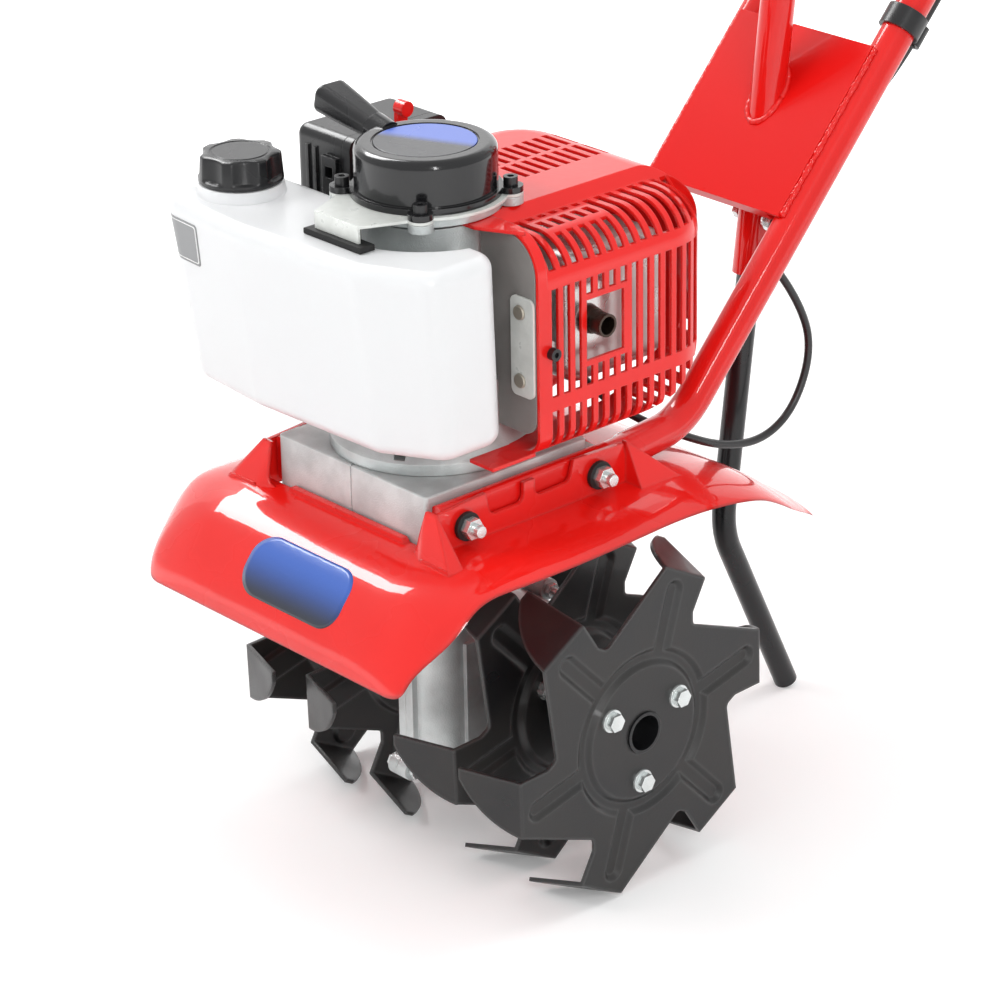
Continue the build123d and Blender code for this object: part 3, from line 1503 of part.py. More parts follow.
with BuildPart() as throttle_trigger:
    with BuildSketch(side(HANDLE_X)):
        with BuildLine():
            Polyline(
                (HANDLE_Y[1] - 106, HANDLE_V - 18),
                (HANDLE_Y[1] - 56, HANDLE_V - 31),
                (HANDLE_Y[1] - 46, HANDLE_V - 40),
                (HANDLE_Y[1] - 52, HANDLE_V - 52),
                (HANDLE_Y[1] - 68, HANDLE_V - 46),
                (HANDLE_Y[1] - 90, HANDLE_V - 48),
                (HANDLE_Y[1] - 106, HANDLE_V - 34),
                close=True,
            )
        make_face()
        fillet(vertices(), 2.5)
    extrude(amount=4.4, both=True)

with BuildPart() as stop_switch:
    with BuildSketch(level(HANDLE_V + 15.4)):
        with Locations((HANDLE_X, HANDLE_Y[1] - 112)):
            RectangleRounded(11, 11, 2)
    extrude(amount=7.6)

pieces = {
    "gearbox_left": gearbox_left,
    "gearbox_right": gearbox_right,
    "gearbox_bolts": gearbox_bolts,
    "worm_shaft": worm_shaft,
    "worm_wheel": worm_wheel,
    "tine_shaft": tine_shaft,
    "shaft_bearings": shaft_bearings,
    "tine_right_outer": tine_right_outer,
    "tine_right_inner": tine_right_inner,
    "tine_left_inner": tine_left_inner,
    "tine_left_outer": tine_left_outer,
    "tine_hub_right": tine_hub_right,
    "tine_hub_left": tine_hub_left,
    "tine_bolts": tine_bolts,
    "hub_pins": hub_pins,
    "clutch_housing": clutch_housing,
    "clutch_drum": clutch_drum,
    "clutch_shoes": clutch_shoes,
    "crankcase": crankcase,
    "crankshaft": crankshaft,
    "flywheel": flywheel,
    "cylinder": cylinder,
    "spark_plug": spark_plug,
    "muffler": muffler,
    "engine_cover": engine_cover,
    "cover_screw": cover_screw,
    "heat_shield": heat_shield,
    "shield_strap": shield_strap,
    "shield_rivets": shield_rivets,
    "carburettor": carburettor,
    "filter_base": filter_base,
    "filter_cover": filter_cover,
    "filter_foam": filter_foam,
    "choke_lever": choke_lever,
    "starter_housing": starter_housing,
    "starter_screws": starter_screws,
    "starter_pulley": starter_pulley,
    "starter_rope": starter_rope,
    "starter_grip": starter_grip,
    "tank_bracket": tank_bracket,
    "tank_pad": tank_pad,
    "fuel_tank": fuel_tank,
    "fuel_cap": fuel_cap,
    "fuel_hose": fuel_hose,
    "fender": fender,
    "fender_bolts": fender_bolts,
    "fender_washers": fender_washers,
    "handle_tube_left": handle_tube_left,
    "handle_tube_right": handle_tube_right,
    "handle_plate": handle_plate,
    "stake_sleeve": stake_sleeve,
    "stake_bolt": stake_bolt,
    "drag_stake": drag_stake,
    "throttle_cable": throttle_cable,
    "cable_clip": cable_clip,
    "grip_left": grip_left,
    "throttle_grip": throttle_grip,
    "throttle_trigger": throttle_trigger,
    "stop_switch": stop_switch,
}
for name, piece in pieces.items():
    piece.part.label = name
    export_step(piece.part, f"parts/{name}.step")
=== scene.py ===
"""Looks of a walk-behind garden tiller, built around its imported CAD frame."""

from __future__ import annotations

import logging
import math
from dataclasses import dataclass
from enum import Enum

import bmesh
import bpy
from mathutils import Matrix, Vector
from mathutils.bvhtree import BVHTree


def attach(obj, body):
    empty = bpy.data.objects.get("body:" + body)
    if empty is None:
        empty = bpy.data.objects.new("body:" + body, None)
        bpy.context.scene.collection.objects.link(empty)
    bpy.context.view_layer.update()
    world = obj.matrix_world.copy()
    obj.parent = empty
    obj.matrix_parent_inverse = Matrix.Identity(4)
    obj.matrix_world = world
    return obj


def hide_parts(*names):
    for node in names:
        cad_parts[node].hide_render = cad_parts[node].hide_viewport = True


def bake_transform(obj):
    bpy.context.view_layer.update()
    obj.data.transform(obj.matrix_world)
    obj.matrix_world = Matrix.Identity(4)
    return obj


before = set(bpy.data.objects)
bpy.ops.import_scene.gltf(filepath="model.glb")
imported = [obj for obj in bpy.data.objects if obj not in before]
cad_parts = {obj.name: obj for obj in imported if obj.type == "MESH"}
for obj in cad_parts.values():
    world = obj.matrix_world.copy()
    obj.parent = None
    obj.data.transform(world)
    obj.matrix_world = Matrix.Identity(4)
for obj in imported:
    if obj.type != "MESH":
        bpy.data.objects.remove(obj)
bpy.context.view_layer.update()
LOG = logging.getLogger("tiller")

Triple = tuple[float, float, float]

# The tine axle's place in the shared frame, in millimetres, as in the part's source.
AXLE = Vector((0.0, -291.5, 120.45))
MM = 0.001
RIGHT = Vector((1.0, 0.0, 0.0))
REAR = Vector((0.0, 1.0, 0.0))
UP = Vector((0.0, 0.0, 1.0))

# Sockets of a colour Mix node, by number because its other kinds use the same names.
MIX_A, MIX_B, MIX_RESULT = 6, 7, 2
WHITE = (1.0, 1.0, 1.0, 1.0)


def place(x: float, y: float, v: float) -> Vector:
    """Turn a point given in millimetres from the axle's centre into metres in the shared frame.

    Args:
        x: Millimetres to the right, seen from the front.
        y: Millimetres towards the operator.
        v: Millimetres above the axle.

    Returns:
        The point in metres.
    """
    return (Vector((x, y, v)) + AXLE) * MM


class Body(Enum):
    """Names of the moving bodies that pieces ride on."""

    FRAME = "frame"
    GRIP = "grip"
    CAP = "cap"


class Socket(Enum):
    """Kinds of socket that a node group has."""

    VALUE = "NodeSocketFloat"
    VECTOR = "NodeSocketVector"
    COLOUR = "NodeSocketColor"


def map_range(tree: bpy.types.NodeTree, smooth: bool = False, **ends: float) -> bpy.types.Node:
    """Add a node that maps one range of values to another.

    Args:
        tree: The node tree that takes it.
        smooth: Whether it eases in and out.
        ends: Ends of the two ranges, such as from_min or to_max.

    Returns:
        The new node.
    """
    node = tree.nodes.new("ShaderNodeMapRange")
    if smooth:
        node.interpolation_type = "SMOOTHSTEP"
    for label, value in ends.items():
        node.inputs[label.replace("_", " ").title()].default_value = value
    return node


def math_node(tree: bpy.types.NodeTree, kind: str, operation: str) -> bpy.types.Node:
    """Add a node that calculates.

    Args:
        tree: The node tree that takes it.
        kind: Math for numbers or VectorMath for vectors.
        operation: What it calculates.

    Returns:
        The new node.
    """
    node = tree.nodes.new(f"ShaderNode{kind}")
    node.operation = operation
    return node


def colour_mix(tree: bpy.types.NodeTree) -> bpy.types.Node:
    """Add a node that mixes two colours.

    Args:
        tree: The node tree that takes it.

    Returns:
        The new node.
    """
    node = tree.nodes.new("ShaderNodeMix")
    node.data_type = "RGBA"
    return node


class Groups:
    """Shader node groups shared by all finishes.

    Attributes:
        NOISE_ENDS: Raw noise that counts as 0 and as 1.
        NOISE_DETAIL: Octaves of each noise.
        BEVEL_RAYS: Number of rays that feel for an edge.
        EDGE_ENDS: Cosine of the bend that counts as flat and as a full edge.
    """

    NOISE_ENDS = (0.25, 0.75)
    NOISE_DETAIL = {"Broad": 3.0, "Fine": 2.0}
    BEVEL_RAYS = 4
    EDGE_ENDS = (0.995, 0.86)

    @staticmethod
    def _new(
        name: str, inputs: dict[str, tuple[Socket, object]], outputs: dict[str, Socket]
    ) -> bpy.types.NodeTree:
        """Start a node group with its sockets and its two end nodes.

        Args:
            name: The group's name.
            inputs: Socket name to socket kind and default value.
            outputs: Socket name to socket kind.

        Returns:
            The group's node tree.
        """
        tree = bpy.data.node_groups.new(name, "ShaderNodeTree")
        for label, (kind, value) in inputs.items():
            socket = tree.interface.new_socket(label, in_out="INPUT", socket_type=kind.value)
            socket.default_value = value
        for label, kind in outputs.items():
            tree.interface.new_socket(label, in_out="OUTPUT", socket_type=kind.value)
        tree.nodes.new("NodeGroupInput").name = "in"
        tree.nodes.new("NodeGroupOutput").name = "out"
        return tree

    @classmethod
    def noise(cls) -> bpy.types.NodeTree:
        """Object-space noise, one broad and one fine, each from 0 to 1.

        Returns:
            The node group.
        """
        tree = bpy.data.node_groups.get("surface_noise")
        if tree:
            return tree
        tree = cls._new(
            "surface_noise",
            {"Broad": (Socket.VALUE, 14.0), "Fine": (Socket.VALUE, 420.0)},
            {"Broad": Socket.VALUE, "Fine": Socket.VALUE},
        )
        nodes, links = tree.nodes, tree.links
        coords = nodes.new("ShaderNodeTexCoord")
        low, high = cls.NOISE_ENDS
        for label, detail in cls.NOISE_DETAIL.items():
            texture = nodes.new("ShaderNodeTexNoise")
            texture.inputs["Detail"].default_value = detail
            spread = map_range(tree, smooth=True, from_min=low, from_max=high)
            links.new(coords.outputs["Object"], texture.inputs["Vector"])
            links.new(nodes["in"].outputs[label], texture.inputs["Scale"])
            links.new(texture.outputs["Fac"], spread.inputs["Value"])
            links.new(spread.outputs[0], nodes["out"].inputs[label])
        return tree

    @classmethod
    def edges(cls) -> bpy.types.NodeTree:
        """Rounded shading normal at hard edges, with a bump on top, and a mask of those edges.

        Returns:
            The node group.
        """
        tree = bpy.data.node_groups.get("rounded_edges")
        if tree:
            return tree
        tree = cls._new(
            "rounded_edges",
            {
                "Radius": (Socket.VALUE, 0.0008),
                "Height": (Socket.VALUE, 0.0),
                "Depth": (Socket.VALUE, 0.00002),
            },
            {"Normal": Socket.VECTOR, "Mask": Socket.VALUE},
        )
        nodes, links = tree.nodes, tree.links
        bevel = nodes.new("ShaderNodeBevel")
        bevel.samples = cls.BEVEL_RAYS
        bump = nodes.new("ShaderNodeBump")
        geometry = nodes.new("ShaderNodeNewGeometry")
        turn = math_node(tree, "VectorMath", "DOT_PRODUCT")
        flat, sharp = cls.EDGE_ENDS
        spread = map_range(tree, from_min=flat, from_max=sharp)
        links.new(nodes["in"].outputs["Radius"], bevel.inputs["Radius"])
        links.new(nodes["in"].outputs["Height"], bump.inputs["Height"])
        links.new(nodes["in"].outputs["Depth"], bump.inputs["Distance"])
        links.new(bevel.outputs[0], bump.inputs["Normal"])
        links.new(bevel.outputs[0], turn.inputs[0])
        links.new(geometry.outputs["Normal"], turn.inputs[1])
        links.new(turn.outputs["Value"], spread.inputs["Value"])
        links.new(bump.outputs[0], nodes["out"].inputs["Normal"])
        links.new(spread.outputs[0], nodes["out"].inputs["Mask"])
        return tree

    @classmethod
    def tint(cls) -> bpy.types.NodeTree:
        """Base colour that drifts with broad noise and turns to a lighter edge colour along edges,
        partly scuffing and partly a painted edge highlight.

        Returns:
            The node group.
        """
        tree = bpy.data.node_groups.get("worn_and_highlit_tint")
        if tree:
            return tree
        tree = cls._new(
            "worn_and_highlit_tint",
            {
                "Colour": (Socket.COLOUR, (0.5, 0.5, 0.5, 1.0)),
                "Drift": (Socket.COLOUR, (0.4, 0.4, 0.4, 1.0)),
                "Edge": (Socket.COLOUR, (0.6, 0.6, 0.6, 1.0)),
                "Noise": (Socket.VALUE, 0.5),
                "Mask": (Socket.VALUE, 0.0),
                "Wear": (Socket.VALUE, 0.3),
            },
            {"Colour": Socket.COLOUR},
        )
        nodes, links = tree.nodes, tree.links
        drift = colour_mix(tree)
        # Share of the lighter edge colour, from the edge mask: partly scuffs, partly a painted
        # edge highlight.
        worn_and_highlit = math_node(tree, "Math", "MULTIPLY")
        edge = colour_mix(tree)
        links.new(nodes["in"].outputs["Noise"], drift.inputs["Factor"])
        links.new(nodes["in"].outputs["Colour"], drift.inputs[MIX_A])
        links.new(nodes["in"].outputs["Drift"], drift.inputs[MIX_B])
        links.new(nodes["in"].outputs["Mask"], worn_and_highlit.inputs[0])
        links.new(nodes["in"].outputs["Wear"], worn_and_highlit.inputs[1])
        links.new(worn_and_highlit.outputs[0], edge.inputs["Factor"])
        links.new(drift.outputs[MIX_RESULT], edge.inputs[MIX_A])
        links.new(nodes["in"].outputs["Edge"], edge.inputs[MIX_B])
        links.new(edge.outputs[MIX_RESULT], nodes["out"].inputs["Colour"])
        return tree

    @classmethod
    def fade(cls) -> bpy.types.NodeTree:
        """Mask that rises from 0 to 1 along a direction in object space.

        Returns:
            The node group.
        """
        tree = bpy.data.node_groups.get("fade_mask")
        if tree:
            return tree
        tree = cls._new(
            "fade_mask",
            {
                "Direction": (Socket.VECTOR, (0.0, 0.0, 1.0)),
                "Start": (Socket.VALUE, 0.0),
                "End": (Socket.VALUE, 1.0),
            },
            {"Mask": Socket.VALUE},
        )
        nodes, links = tree.nodes, tree.links
        coords = nodes.new("ShaderNodeTexCoord")
        along = math_node(tree, "VectorMath", "DOT_PRODUCT")
        spread = map_range(tree, smooth=True)
        links.new(coords.outputs["Object"], along.inputs[0])
        links.new(nodes["in"].outputs["Direction"], along.inputs[1])
        links.new(along.outputs["Value"], spread.inputs["Value"])
        links.new(nodes["in"].outputs["Start"], spread.inputs["From Min"])
        links.new(nodes["in"].outputs["End"], spread.inputs["From Max"])
        links.new(spread.outputs[0], nodes["out"].inputs["Mask"])
        return tree


@dataclass(frozen=True)
class Fade:
    """A second colour that takes over along a direction.

    Attributes:
        colour: Linear colour at the end of the fade.
        direction: Direction of the fade in the shared frame.
        start: Distance along the direction, in metres, where it begins.
        end: Distance along the direction, in metres, where it is complete.
    """

    colour: Triple
    direction: Triple
    start: float
    end: float


# Roughness of every clear coat, and depth in metres of light scattered under a surface.
COAT_ROUGHNESS = 0.03
SCATTER_DEPTH = 0.012


@dataclass(frozen=True)
class Finish:
    """One procedural surface.

    Attributes:
        name: The material's name.
        colour: Linear base colour.
        drift: Linear colour that the base drifts to with broad noise.
        edge: Linear colour on the edges, lighter than the base: partly scuffing, partly a painted
            edge highlight.
        wear_and_highlight: How much of the edge colour shows.
        metallic: Metal share of the surface.
        rough: Lowest and highest roughness.
        coat: Clear coat weight.
        broad: Scale of the broad noise.
        fine: Scale of the fine noise.
        depth: Bump depth in metres.
        radius: Radius of the softened edges in metres.
        subsurface: Weight of light scattered under the surface.
        specular: Level of the dielectric highlight.
        glow: Light that the surface gives off by itself.
        fade: A second colour along a direction, if any.
    """

    name: str
    colour: Triple
    drift: Triple
    edge: Triple = (0.6, 0.6, 0.6)
    wear_and_highlight: float = 0.0
    metallic: float = 0.0
    rough: tuple[float, float] = (0.3, 0.4)
    coat: float = 0.0
    broad: float = 14.0
    fine: float = 420.0
    depth: float = 0.00002
    radius: float = 0.0008
    subsurface: float = 0.0
    specular: float = 0.5
    glow: float = 0.0
    fade: Fade | None = None

    def build(self) -> bpy.types.Material:
        """Make the material once and return it.

        Returns:
            The Blender material.
        """
        material = bpy.data.materials.get(self.name)
        if material:
            return material
        material = bpy.data.materials.new(self.name)
        material.use_nodes = True
        tree = material.node_tree
        links, shader = tree.links, tree.nodes["Principled BSDF"]
        noise = self._group(tree, Groups.noise(), Broad=self.broad, Fine=self.fine)
        edges = self._group(tree, Groups.edges(), Radius=self.radius, Depth=self.depth)
        tints = {"Colour": self.colour, "Drift": self.drift, "Edge": self.edge}
        opaque = {label: (*colour, 1.0) for label, colour in tints.items()}
        # The edge colour and its share lighten the edges: partly scuffs, partly a painted edge
        # highlight.
        tint = self._group(tree, Groups.tint(), **opaque, Wear=self.wear_and_highlight)
        sheen = map_range(tree, to_min=self.rough[0], to_max=self.rough[1])
        links.new(noise.outputs["Fine"], edges.inputs["Height"])
        links.new(noise.outputs["Broad"], tint.inputs["Noise"])
        links.new(edges.outputs["Mask"], tint.inputs["Mask"])
        links.new(self._faded(tree, tint.outputs["Colour"]), shader.inputs["Base Color"])
        links.new(edges.outputs["Normal"], shader.inputs["Normal"])
        links.new(noise.outputs["Broad"], sheen.inputs["Value"])
        links.new(sheen.outputs[0], shader.inputs["Roughness"])
        plain = {
            "Metallic": self.metallic,
            "Coat Weight": self.coat,
            "Coat Roughness": COAT_ROUGHNESS,
            "Emission Color": WHITE,
            "Emission Strength": self.glow,
            "Specular IOR Level": self.specular,
        }
        if self.subsurface:
            plain["Subsurface Weight"] = self.subsurface
            plain["Subsurface Radius"] = (1.0, 1.0, 1.0)
            plain["Subsurface Scale"] = SCATTER_DEPTH
        for label, value in plain.items():
            shader.inputs[label].default_value = value
        return material

    def _faded(
        self, tree: bpy.types.NodeTree, colour: bpy.types.NodeSocket
    ) -> bpy.types.NodeSocket:
        """Let the second colour take over, where the finish has one.

        Args:
            tree: The material's node tree.
            colour: The socket that gives the first colour.

        Returns:
            The socket that gives the colour to use.
        """
        if not self.fade:
            return colour
        ends = {"Direction": self.fade.direction, "Start": self.fade.start, "End": self.fade.end}
        mask = self._group(tree, Groups.fade(), **ends)
        turn = colour_mix(tree)
        turn.inputs[MIX_B].default_value = (*self.fade.colour, 1.0)
        tree.links.new(mask.outputs["Mask"], turn.inputs["Factor"])
        tree.links.new(colour, turn.inputs[MIX_A])
        return turn.outputs[MIX_RESULT]

    @staticmethod
    def _group(
        tree: bpy.types.NodeTree, group: bpy.types.NodeTree, **values: object
    ) -> bpy.types.Node:
        """Add a node that uses a shared group.

        Args:
            tree: The material's node tree.
            group: The shared node group.
            values: Values of the group's inputs.

        Returns:
            The new group node.
        """
        node = tree.nodes.new("ShaderNodeGroup")
        node.node_tree = group
        for label, value in values.items():
            node.inputs[label].default_value = value
        return node


# The third colour of each finish and the number after it lighten its edges: partly scuffs, partly
# a painted edge highlight.
RED_COAT = Finish(
    "red_coat",
    (0.72, 0.010, 0.008),
    (0.66, 0.008, 0.006),
    (0.85, 0.06, 0.05),
    0.3,
    rough=(0.27, 0.31),
    coat=0.6,
    specular=0.10,
    fine=240.0,
)
RED_SHEET = Finish(
    "red_sheet",
    (0.67, 0.006, 0.005),
    (0.64, 0.006, 0.005),
    (0.85, 0.06, 0.05),
    0.3,
    rough=(0.27, 0.29),
    coat=0.16,
    specular=0.05,
    broad=6.0,
    fine=240.0,
)
RED_MOULD = Finish(
    "red_mould",
    (0.78, 0.011, 0.009),
    (0.71, 0.009, 0.007),
    (0.9, 0.12, 0.10),
    0.25,
    rough=(0.26, 0.36),
    coat=0.6,
    specular=0.10,
    fine=160.0,
    radius=0.0016,
)
RED_FENDER = Finish(
    "red_fender",
    (0.76, 0.012, 0.009),
    (0.70, 0.010, 0.007),
    (0.9, 0.10, 0.09),
    0.15,
    rough=(0.25, 0.29),
    coat=0.8,
    specular=0.08,
    fine=60.0,
    depth=0.00006,
    radius=0.0035,
)
BLACK_COAT = Finish(
    "black_coat",
    (0.006, 0.006, 0.007),
    (0.010, 0.010, 0.011),
    (0.06, 0.06, 0.065),
    0.6,
    rough=(0.24, 0.36),
    coat=0.15,
    specular=0.35,
    fine=600.0,
)
TINE_COAT = Finish(
    "tine_coat",
    (0.010, 0.010, 0.011),
    (0.018, 0.0165, 0.0155),
    (0.34, 0.34, 0.34),
    0.18,
    rough=(0.27, 0.46),
    coat=0.10,
    specular=0.40,
    broad=20.0,
    fine=700.0,
    depth=0.00003,
    radius=0.0035,
)
BLACK_MOULD = Finish(
    "black_mould",
    (0.011, 0.011, 0.012),
    (0.017, 0.017, 0.018),
    (0.07, 0.07, 0.07),
    0.5,
    rough=(0.24, 0.34),
    specular=0.36,
    fine=900.0,
)
BLACK_GLOSS = Finish(
    "black_gloss",
    (0.007, 0.007, 0.008),
    (0.010, 0.010, 0.011),
    (0.06, 0.06, 0.06),
    0.5,
    rough=(0.14, 0.22),
    coat=0.35,
    specular=0.25,
    fine=300.0,
)
NATURAL_MOULD = Finish(
    "natural_mould",
    (0.775, 0.785, 0.795),
    (0.772, 0.782, 0.792),
    (0.86, 0.86, 0.86),
    0.3,
    rough=(0.30, 0.32),
    broad=9.0,
    fine=300.0,
    radius=0.0015,
    subsurface=0.25,
)
CAST = Finish(
    "cast_alloy",
    (0.585, 0.625, 0.62),
    (0.425, 0.452, 0.45),
    (0.85, 0.85, 0.84),
    0.6,
    metallic=0.4,
    rough=(0.28, 0.48),
    broad=38.0,
    fine=900.0,
    depth=0.00012,
)
ZINC = Finish(
    "zinc_plate",
    (0.74, 0.78, 0.78),
    (0.64, 0.67, 0.66),
    (0.92, 0.93, 0.93),
    0.5,
    metallic=0.75,
    rough=(0.16, 0.28),
    broad=60.0,
    fine=900.0,
    radius=0.0004,
)
GALVANISED = Finish(
    "galvanised_sheet",
    (0.72, 0.74, 0.71),
    (0.61, 0.63, 0.60),
    (0.86, 0.87, 0.86),
    0.4,
    metallic=0.15,
    rough=(0.26, 0.42),
    broad=90.0,
    fine=1400.0,
    radius=0.0005,
)
RIVET = Finish(
    "rivet_steel",
    (0.42, 0.38, 0.31),
    (0.34, 0.31, 0.26),
    (0.6, 0.57, 0.5),
    0.4,
    metallic=0.6,
    rough=(0.3, 0.42),
    broad=80.0,
)
STEEL = Finish(
    "turned_steel",
    (0.40, 0.40, 0.41),
    (0.33, 0.33, 0.34),
    metallic=1.0,
    rough=(0.25, 0.4),
    broad=40.0,
)
DARK_STEEL = Finish(
    "friction_steel",
    (0.10, 0.085, 0.075),
    (0.17, 0.12, 0.09),
    metallic=0.7,
    rough=(0.5, 0.7),
    broad=30.0,
)
MUFFLER_STEEL = Finish(
    "muffler_steel",
    (0.66, 0.65, 0.64),
    (0.54, 0.53, 0.52),
    metallic=0.8,
    rough=(0.22, 0.36),
    broad=30.0,
    fade=Fade((0.055, 0.036, 0.028), (1.0, 0.0, 0.0), 0.0895, 0.0930),
)
BRONZE = Finish(
    "wheel_bronze",
    (0.50, 0.33, 0.14),
    (0.42, 0.27, 0.11),
    metallic=1.0,
    rough=(0.3, 0.45),
)
RUBBER = Finish(
    "black_rubber",
    (0.010, 0.010, 0.010),
    (0.017, 0.017, 0.017),
    rough=(0.50, 0.68),
    specular=0.35,
    fine=1200.0,
    depth=0.00004,
)
SHEATH = Finish(
    "cable_sheath",
    (0.010, 0.010, 0.011),
    (0.015, 0.015, 0.016),
    rough=(0.26, 0.36),
    fine=700.0,
)
FOAM = Finish(
    "filter_foam",
    (0.05, 0.05, 0.055),
    (0.09, 0.09, 0.10),
    rough=(0.8, 0.95),
    fine=900.0,
    depth=0.0004,
)
BOARD = Finish(
    "heat_board",
    (0.170, 0.160, 0.152),
    (0.215, 0.203, 0.193),
    (0.45, 0.44, 0.42),
    0.4,
    rough=(0.5, 0.7),
    broad=40.0,
    fine=1500.0,
    depth=0.00005,
)
CORD = Finish(
    "braided_cord",
    (0.02, 0.02, 0.02),
    (0.05, 0.05, 0.05),
    rough=(0.6, 0.8),
    fine=1600.0,
    depth=0.0002,
)
STARTER_DISC = Finish(
    "starter_disc",
    (0.038, 0.039, 0.043),
    (0.046, 0.047, 0.052),
    rough=(0.24, 0.32),
    fade=Fade((0.085, 0.155, 0.57), (-0.40, 0.917, 0.0), -0.3250, -0.3120),
)
FENDER_PLATE = Finish(
    "fender_plate",
    (0.022, 0.025, 0.036),
    (0.026, 0.030, 0.042),
    rough=(0.27, 0.29),
    coat=0.5,
    specular=0.2,
    fade=Fade((0.042, 0.115, 0.45), (0.0, 0.0, 1.0), 0.235, 0.262),
)
TANK_PLATE = Finish("tank_plate", (0.22, 0.225, 0.23), (0.25, 0.255, 0.26), rough=(0.30, 0.40))
TANK_LINE = Finish("tank_line", (0.85, 0.85, 0.85), (0.80, 0.80, 0.80), rough=(0.35, 0.45))

FINISHES: dict[Finish, tuple[str, ...]] = {
    RED_COAT: ("handle_tube_left", "handle_tube_right", "stake_sleeve"),
    RED_SHEET: ("handle_plate",),
    RED_MOULD: ("engine_cover", "choke_lever", "throttle_trigger", "stop_switch"),
    RED_FENDER: ("fender",),
    BLACK_COAT: ("tine_hub_right", "tine_hub_left", "cover_screw", "starter_screws", "drag_stake"),
    TINE_COAT: ("tine_right_outer", "tine_right_inner", "tine_left_inner", "tine_left_outer"),
    BLACK_MOULD: (
        "filter_base",
        "filter_cover",
        "starter_pulley",
        "starter_grip",
        "fuel_cap",
        "cable_clip",
        "throttle_grip",
    ),
    BLACK_GLOSS: ("starter_housing",),
    NATURAL_MOULD: ("fuel_tank",),
    CAST: (
        "gearbox_left",
        "gearbox_right",
        "clutch_housing",
        "crankcase",
        "flywheel",
        "cylinder",
        "carburettor",
    ),
    ZINC: (
        "gearbox_bolts",
        "tine_bolts",
        "hub_pins",
        "spark_plug",
        "fender_bolts",
        "stake_bolt",
    ),
    GALVANISED: ("shield_strap", "tank_bracket"),
    RIVET: ("shield_rivets",),
    STEEL: ("worm_shaft", "tine_shaft", "shaft_bearings", "clutch_drum", "crankshaft"),
    MUFFLER_STEEL: ("muffler",),
    DARK_STEEL: ("clutch_shoes",),
    BRONZE: ("worm_wheel",),
    RUBBER: ("tank_pad", "fuel_hose", "fender_washers", "grip_left"),
    SHEATH: ("throttle_cable",),
    FOAM: ("filter_foam",),
    BOARD: ("heat_shield",),
    CORD: ("starter_rope",),
}


def link_object(name: str, data: bpy.types.ID) -> bpy.types.Object:
    """Put a new object into the scene.

    Args:
        name: The object's name.
        data: Its mesh, curve, light or camera.

    Returns:
        The new object.
    """
    shown = bpy.data.objects.new(name, data)
    bpy.context.scene.collection.objects.link(shown)
    return shown


def mesh_object(
    name: str, mesh: bmesh.types.BMesh, finish: Finish, smooth: bool = True
) -> bpy.types.Object:
    """Turn a bmesh into an object with a finish.

    Args:
        name: The object's name.
        mesh: The finished bmesh, freed here.
        finish: Its surface.
        smooth: Whether its faces are shaded smooth.

    Returns:
        The new object.
    """
    data = bpy.data.meshes.new(name)
    bmesh.ops.recalc_face_normals(mesh, faces=mesh.faces)
    mesh.to_mesh(data)
    mesh.free()
    for face in data.polygons:
        face.use_smooth = smooth
    data.materials.append(finish.build())
    return link_object(name, data)


def mesh_piece(
    name: str, mesh: bmesh.types.BMesh, finish: Finish, body: Body, smooth: bool = True
) -> bpy.types.Object:
    """Turn a bmesh into a piece that rides on a body.

    Args:
        name: The piece's name.
        mesh: The finished bmesh, freed here.
        finish: Its surface.
        body: The body that it rides on.
        smooth: Whether its faces are shaded smooth.

    Returns:
        The new object.
    """
    piece = mesh_object(name, mesh, finish, smooth)
    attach(piece, body.value)
    return piece


def round_angles(sides: int) -> list[float]:
    """Angles of evenly spread corners once round, in radians.

    Args:
        sides: Number of corners.

    Returns:
        The angles.
    """
    return [2.0 * math.pi * corner / sides for corner in range(sides)]


def join_rings(mesh: bmesh.types.BMesh, rings: list[list[bmesh.types.BMVert]]) -> None:
    """Join each ring of corners to the next with four-cornered faces.

    Args:
        mesh: The bmesh that takes the faces.
        rings: Rings with the same number of corners.
    """
    for low, high in zip(rings, rings[1:]):
        for corner in range(len(low)):
            after = (corner + 1) % len(low)
            mesh.faces.new((low[corner], low[after], high[after], high[corner]))


def ring_sweep(
    mesh: bmesh.types.BMesh,
    centres: list[Vector],
    radii: list[float],
    axis: Vector,
    sides: int,
) -> None:
    """Sweep round sections of given radii along centres into a closed skin.

    Args:
        mesh: The bmesh that takes the skin.
        centres: Section centres in metres.
        radii: Section radii in metres.
        axis: A direction that is never along the path, to hang the sections on.
        sides: Corners of each section.
    """
    rings = []
    last = len(centres) - 1
    for number, (centre, radius) in enumerate(zip(centres, radii)):
        along = (centres[min(number + 1, last)] - centres[max(number - 1, 0)]).normalized()
        first = axis.cross(along).normalized()
        second = along.cross(first)
        ring = []
        for angle in round_angles(sides):
            spoke = first * math.cos(angle) + second * math.sin(angle)
            ring.append(mesh.verts.new(centre + spoke * radius))
        rings.append(ring)
    join_rings(mesh, rings)
    mesh.faces.new(rings[0])
    mesh.faces.new(rings[-1])


# Frame sizes shared with the part's source, in millimetres.
TUBE_X = 65.0
TUBE_R = 12.5
TUBE_BEND_Y = 114.2
TUBE_SLOPE = 1.093
FRAME_BOLT_V = 172.0
RISE = Vector((0.0, 1.0, TUBE_SLOPE)).normalized()
OVER = Vector((0.0, -RISE.z, RISE.y))


def tube_point(x: float, y: float, off: float) -> Vector:
    """A point beside the rising handle tube.

    Args:
        x: Millimetres to the right.
        y: Millimetres towards the operator, on the tube's axis.
        off: Millimetres from the tube's axis, square to it and upwards.

    Returns:
        The point in metres.
    """
    v = FRAME_BOLT_V + (y - TUBE_BEND_Y) * TUBE_SLOPE
    return place(x, y, v) + OVER * off * MM


